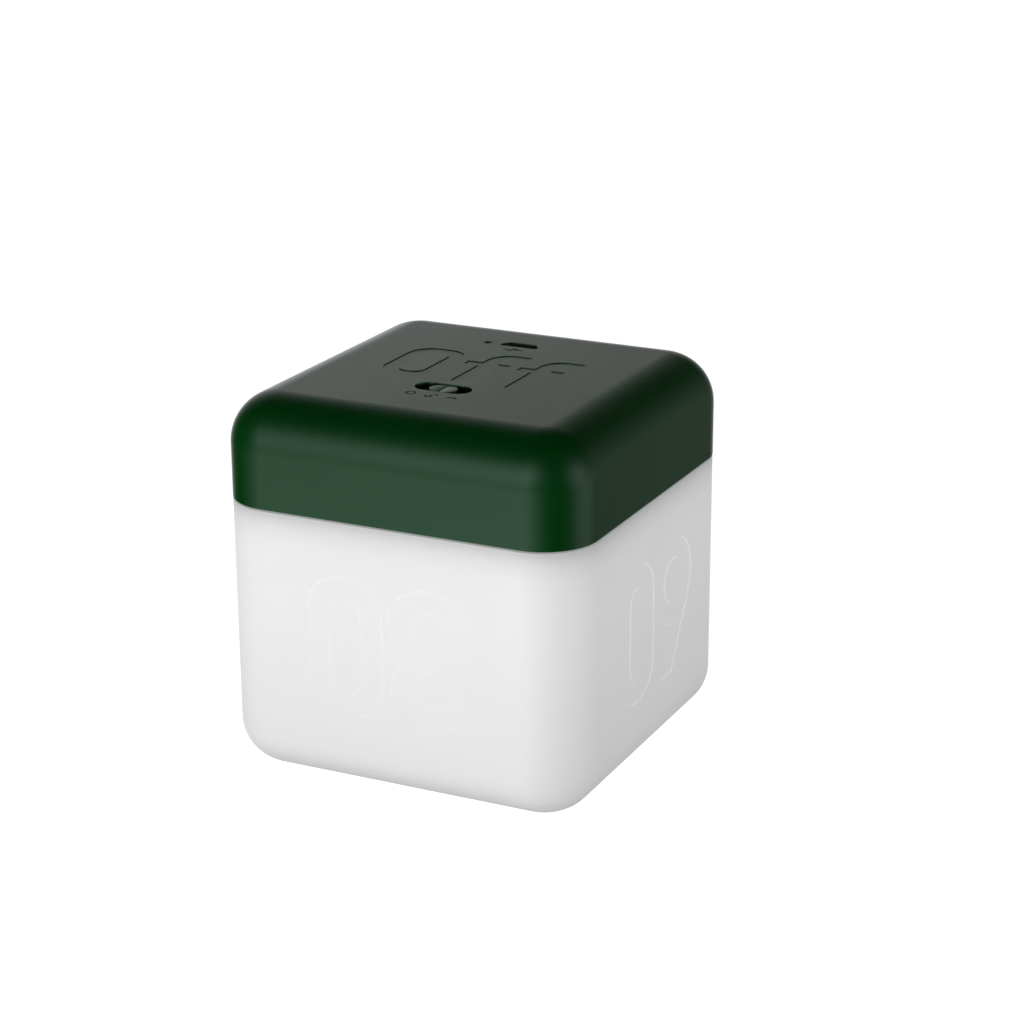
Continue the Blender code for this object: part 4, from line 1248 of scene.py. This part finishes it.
def dress(pieces, material):
    """Gives CAD nodes a finish."""
    for name in pieces:
        cover(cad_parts[name], material)


def dress_plastic(pieces, name, colour, roughness, **texture):
    """Gives CAD nodes a finish of moulded plastic; colour is (r, g, b), or one grey."""
    colour = colour if isinstance(colour, tuple) else (colour,) * 3
    dress(pieces, Finish(name, colour, roughness).plastic(**texture))



class TIMER_OT_frame_parts(Operator):
    """Finishes the inner chassis, its screws and the rubber, foam and sheet parts"""

    bl_idname = "timer.finish_frame_parts"
    bl_label = "Finish the inner frame"

    def execute(self, context):
        screws = Finish("zinc plated screw", STEEL, 0.28, metallic=1.0)
        screws = screws.metal(tarnish=(0.75, 0.7, 0.55))
        dress(names("chassis_screw", 4) + names("board_screw", 4), screws)
        chassis, ivory = ["inner_chassis"], (0.72, 0.71, 0.67)
        dress_plastic(chassis, "natural white chassis", ivory, 0.5, grain=0.0004, tone=0.04, gloss=0.1)
        dress_plastic(["dust_shutter"], "black sheet", 0.005, 0.55, grain=0.0003, tone=0.2, marks=0.8)
        rubber = {"grain": 0.0005, "grain_depth": 0.00001, "tone": 0.25}
        dress_plastic(["port_gasket"], "black rubber", 0.004, 0.72, **rubber)
        dress(["battery_foam"], Finish("grey foam", (0.09, 0.09, 0.095), 0.85).foam())
        return {"FINISHED"}


class TIMER_OT_switch_and_port(Operator):
    """Finishes the slide switch, the charging port and the status light"""

    bl_idname = "timer.finish_switch_and_port"
    bl_label = "Finish the switch and the port"

    def execute(self, context):
        dress(["switch_can"], Finish("tinned steel can", TIN, 0.25, metallic=1.0).metal())
        base, brown = ["switch_base"], (0.10, 0.045, 0.02)
        dress_plastic(base, "brown laminate", brown, 0.55, grain=0.0005, tone=0.3, gloss=0.2)
        contact = Finish("sprung brass", BRASS, 0.2, metallic=1.0)
        dress(["switch_contact"], contact.metal(tarnish=(0.6, 0.5, 0.4)))
        dress_plastic(["switch_lever"], "black lever", 0.006, 0.4)
        shell = Finish("stainless shell", (0.20, 0.20, 0.20), 0.3, metallic=1.0)
        dress(["port_shell"], shell.metal())
        tongue = Finish("tongue with contacts", (0.004, 0.004, 0.004), 0.4)
        tongue.centre_on(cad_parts["port_tongue"])
        dress(["port_tongue"], tongue.contacts(0.00065, 0.55, GOLD))
        status = Finish("status light", (0.75, 0.75, 0.70), 0.4)
        status.centre_on(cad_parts["status_led"])
        dress(["status_led"], status.lamp(0.0003, (0.25, 0.6, 0.2)))
        acrylic = (0.02, 0.03, 0.025)
        pipe = Finish("clear acrylic", acrylic, 0.12, Transmission_Weight=0.6, IOR=1.49)
        pipe = pipe.plastic(grain_depth=0.000001, tone=0.05, gloss=0.05, wear=0.0)
        dress(["light_pipe"], pipe)
        return {"FINISHED"}


class TIMER_OT_electronics(Operator):
    """Finishes the main board and the parts on it, and the buzzer"""

    bl_idname = "timer.finish_electronics"
    bl_label = "Finish the electronics"

    def execute(self, context):
        board = Finish("green circuit board", (0.004, 0.07, 0.022), 0.3, Coat_Weight=0.3)
        dress(["main_board"], board.circuit((0.012, 0.14, 0.04), GOLD))

        for name in ("controller_chip", "charger_chip", "gravity_sensor"):
            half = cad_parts[name].dimensions / 2
            made = Finish("moulded chip", (0.012, 0.012, 0.013), 0.45)
            made.centre_on(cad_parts[name])
            dress([name], made.marked_chip(half.x, half.y))
        crystal = Finish("crystal can", TIN, 0.2, metallic=1.0)
        dress(["clock_crystal"], crystal.metal(along=(900.0,) * 3))
        inductor, dark = ["driver_inductor"], (0.03, 0.03, 0.032)
        dress_plastic(inductor, "ferrite", dark, 0.6, grain=0.0002, grain_depth=0.00002, tone=0.3)
        tan = (0.33, 0.20, 0.10)
        dress_plastic(names("capacitor", 3), "tan ceramic", tan, 0.45, grain=0.0001, tone=0.15)
        dress_plastic(["buzzer_case"], "black buzzer case", 0.008, 0.35, grain=0.0003, tone=0.2)
        dress_plastic(["buzzer_base"], "buzzer base", 0.02, 0.6, grain=0.0005, tone=0.2)
        return {"FINISHED"}


class TIMER_OT_power_and_lamp(Operator):
    """Finishes the battery with its connection, and the lamp board with its lights"""

    bl_idname = "timer.finish_power_and_lamp"
    bl_label = "Finish the battery and the lamp"

    def execute(self, context):
        dress(["battery_cell"], Finish("foil pouch", (0.60, 0.61, 0.63), 0.28, metallic=1.0).foil())
        tape = Finish("amber film", (0.42, 0.16, 0.012), 0.22, Coat_Weight=0.5)
        dress(["battery_guard_board"], tape.plastic(grain=0.0006, tone=0.2, gloss=0.2))
        connector, ivory = ["battery_socket", "battery_plug"], (0.70, 0.68, 0.62)
        dress_plastic(connector, "white nylon", ivory, 0.45, grain=0.0003, tone=0.05)
        for colour, rgb, tone in (("red", (0.45, 0.012, 0.008), 0.15), ("black", 0.008, 0.2)):
            leads = [f"battery_lead_{colour}", f"lamp_lead_{colour}"]
            dress_plastic(leads, f"{colour} lead", rgb, 0.38, grain=0.0004, tone=tone)
        board = Finish("white lamp board", (0.78, 0.78, 0.76), 0.35)
        dress(["lamp_board"], board.circuit((0.70, 0.70, 0.69), TIN, 300.0))
        for name in names("lamp_led", 6):
            made = Finish("lamp light", (0.80, 0.80, 0.76), 0.42)
            made.centre_on(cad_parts[name])
            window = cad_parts[name].dimensions.x * 0.36
            dress([name], made.lamp(window, (0.75, 0.55, 0.08)))
        return {"FINISHED"}


# ---- Stage ----
LIGHT_TIGHTNESS = 14.0
FLOOR_GLOW = 0.93
CAMERA_TARGET = (0.1809, 0.0846, 0.6165)  # shares of the timer's side

SOFT_LIGHTS = [
    # azimuth from +X towards +Y, elevation, strength
    (250.0, -37.0, 0.991),
    (248.0, 17.0, 0.938),
    (6.0, 12.0, 0.890),
    (230.0, -43.0, 0.877),
    (128.0, -11.0, 0.770),
    (268.0, 21.0, 0.754),
    (108.0, -16.0, 0.573),
    (270.0, -32.0, 0.524),
    (23.0, -15.0, 0.444),
    (253.0, -3.0, 0.397),
    (131.0, 21.0, 0.294),
    (15.0, -28.0, 0.231),
    (51.0, 2.0, 0.192),
    (118.0, 29.0, 0.063),
    (75.0, -13.0, 0.049),
]


class TIMER_OT_stage(Operator):
    """Builds the pale floor, the studio's soft light and the camera"""

    bl_idname = "timer.build_stage"
    bl_label = "Build the stage"

    def execute(self, context):
        settings = context.scene.timer_stage
        scene = context.scene
        scene.view_settings.view_transform = "Standard"
        bpy.ops.object.select_all(action="DESELECT")
        bpy.ops.mesh.primitive_plane_add(size=6.0, location=(0, 0, -0.0001))
        floor = bpy.context.active_object
        floor.name = "floor"
        settle(floor)
        for kind in ("diffuse", "glossy", "shadow", "transmission"):
            setattr(floor, f"visible_{kind}", False)
        floor.data.materials.append(floor_finish())
        make_world(settings.light)
        make_camera(settings)
        return {"FINISHED"}


def floor_finish():
    made = Finish("pale floor", (0.85, 0.85, 0.85), 0.9, Specular_IOR_Level=0.1)
    mottle = noise(made.tree, made.vector, 6.0)
    made.set("Base Color", mix_colour(made.tree, mottle, (0.84,) * 3, (0.86,) * 3))
    made.shader.inputs["Emission Color"].default_value = (1, 1, 1, 1)
    made.shader.inputs["Emission Strength"].default_value = FLOOR_GLOW
    return made.material


def make_world(strength):
    world = bpy.data.worlds.new("studio")
    world.use_nodes = True
    bpy.context.scene.world = world
    tree = world.node_tree
    background = tree.nodes["Background"]
    vector = add_node(tree, "ShaderNodeTexCoord").outputs["Generated"]
    light = 0.0
    for azimuth, elevation, lobe in SOFT_LIGHTS:
        a, e = radians(azimuth), radians(elevation)
        light = place_group(
            tree,
            "Soft Light",
            Vector=vector,
            Direction=(cos(a) * cos(e), sin(a) * cos(e), sin(e)),
            Tightness=LIGHT_TIGHTNESS,
            Strength=lobe,
            Base=light,
        )["Light"]
    seen = add_node(tree, "ShaderNodeLightPath").outputs["Is Camera Ray"]
    colour = mix_colour(tree, seen, light, (1.0, 1.0, 1.0))
    tree.links.new(colour, background.inputs["Color"])
    background.inputs["Strength"].default_value = strength


def make_camera(settings):
    azimuth, elevation = settings.azimuth, settings.elevation
    level = cos(elevation)
    back = Vector((sin(azimuth) * level, -cos(azimuth) * level, sin(elevation)))
    target = SIDE * Vector(CAMERA_TARGET)
    data = bpy.data.cameras.new("camera")
    data.lens = settings.focal_length
    data.sensor_width = 36.0
    data.shift_x = settings.shift
    data.clip_start = 0.01
    camera = bpy.data.objects.new("camera", data)
    camera.location = target + back * settings.distance
    camera.rotation_euler = back.to_track_quat("Z", "Y").to_euler()
    bpy.context.scene.collection.objects.link(camera)
    bpy.context.scene.camera = camera


# ---- Panel and registration ----
BUILDERS = (
    TIMER_OT_cap,
    TIMER_OT_body,
    TIMER_OT_knob,
    TIMER_OT_frame_parts,
    TIMER_OT_switch_and_port,
    TIMER_OT_electronics,
    TIMER_OT_power_and_lamp,
    TIMER_OT_stage,
)


class TIMER_PT_build(Panel):
    """Buttons and settings for the timer"""

    bl_idname = "TIMER_PT_build"
    bl_label = "Cube kitchen timer"
    bl_space_type = "VIEW_3D"
    bl_region_type = "UI"
    bl_category = "Timer"

    def draw(self, context):
        for builder in BUILDERS:
            self.layout.operator(builder.bl_idname)
        for name in SETTINGS:
            group = getattr(context.scene, name)
            box = self.layout.box()
            for key in group.__annotations__:
                box.prop(group, key)


SETTINGS = {
    "timer_cap": CapSettings,
    "timer_body": BodySettings,
    "timer_stage": StageSettings,
}


def register():
    for cls in (*SETTINGS.values(), *BUILDERS, TIMER_PT_build):
        bpy.utils.register_class(cls)
    for name, group in SETTINGS.items():
        setattr(bpy.types.Scene, name, PointerProperty(type=group))


def unregister():
    for name in SETTINGS:
        delattr(bpy.types.Scene, name)
    for cls in reversed((*SETTINGS.values(), *BUILDERS, TIMER_PT_build)):
        bpy.utils.unregister_class(cls)


def main():
    register()
    for builder in BUILDERS:
        category, name = builder.bl_idname.split(".")
        getattr(getattr(bpy.ops, category), name)()


if __name__ == "__main__":
    main()
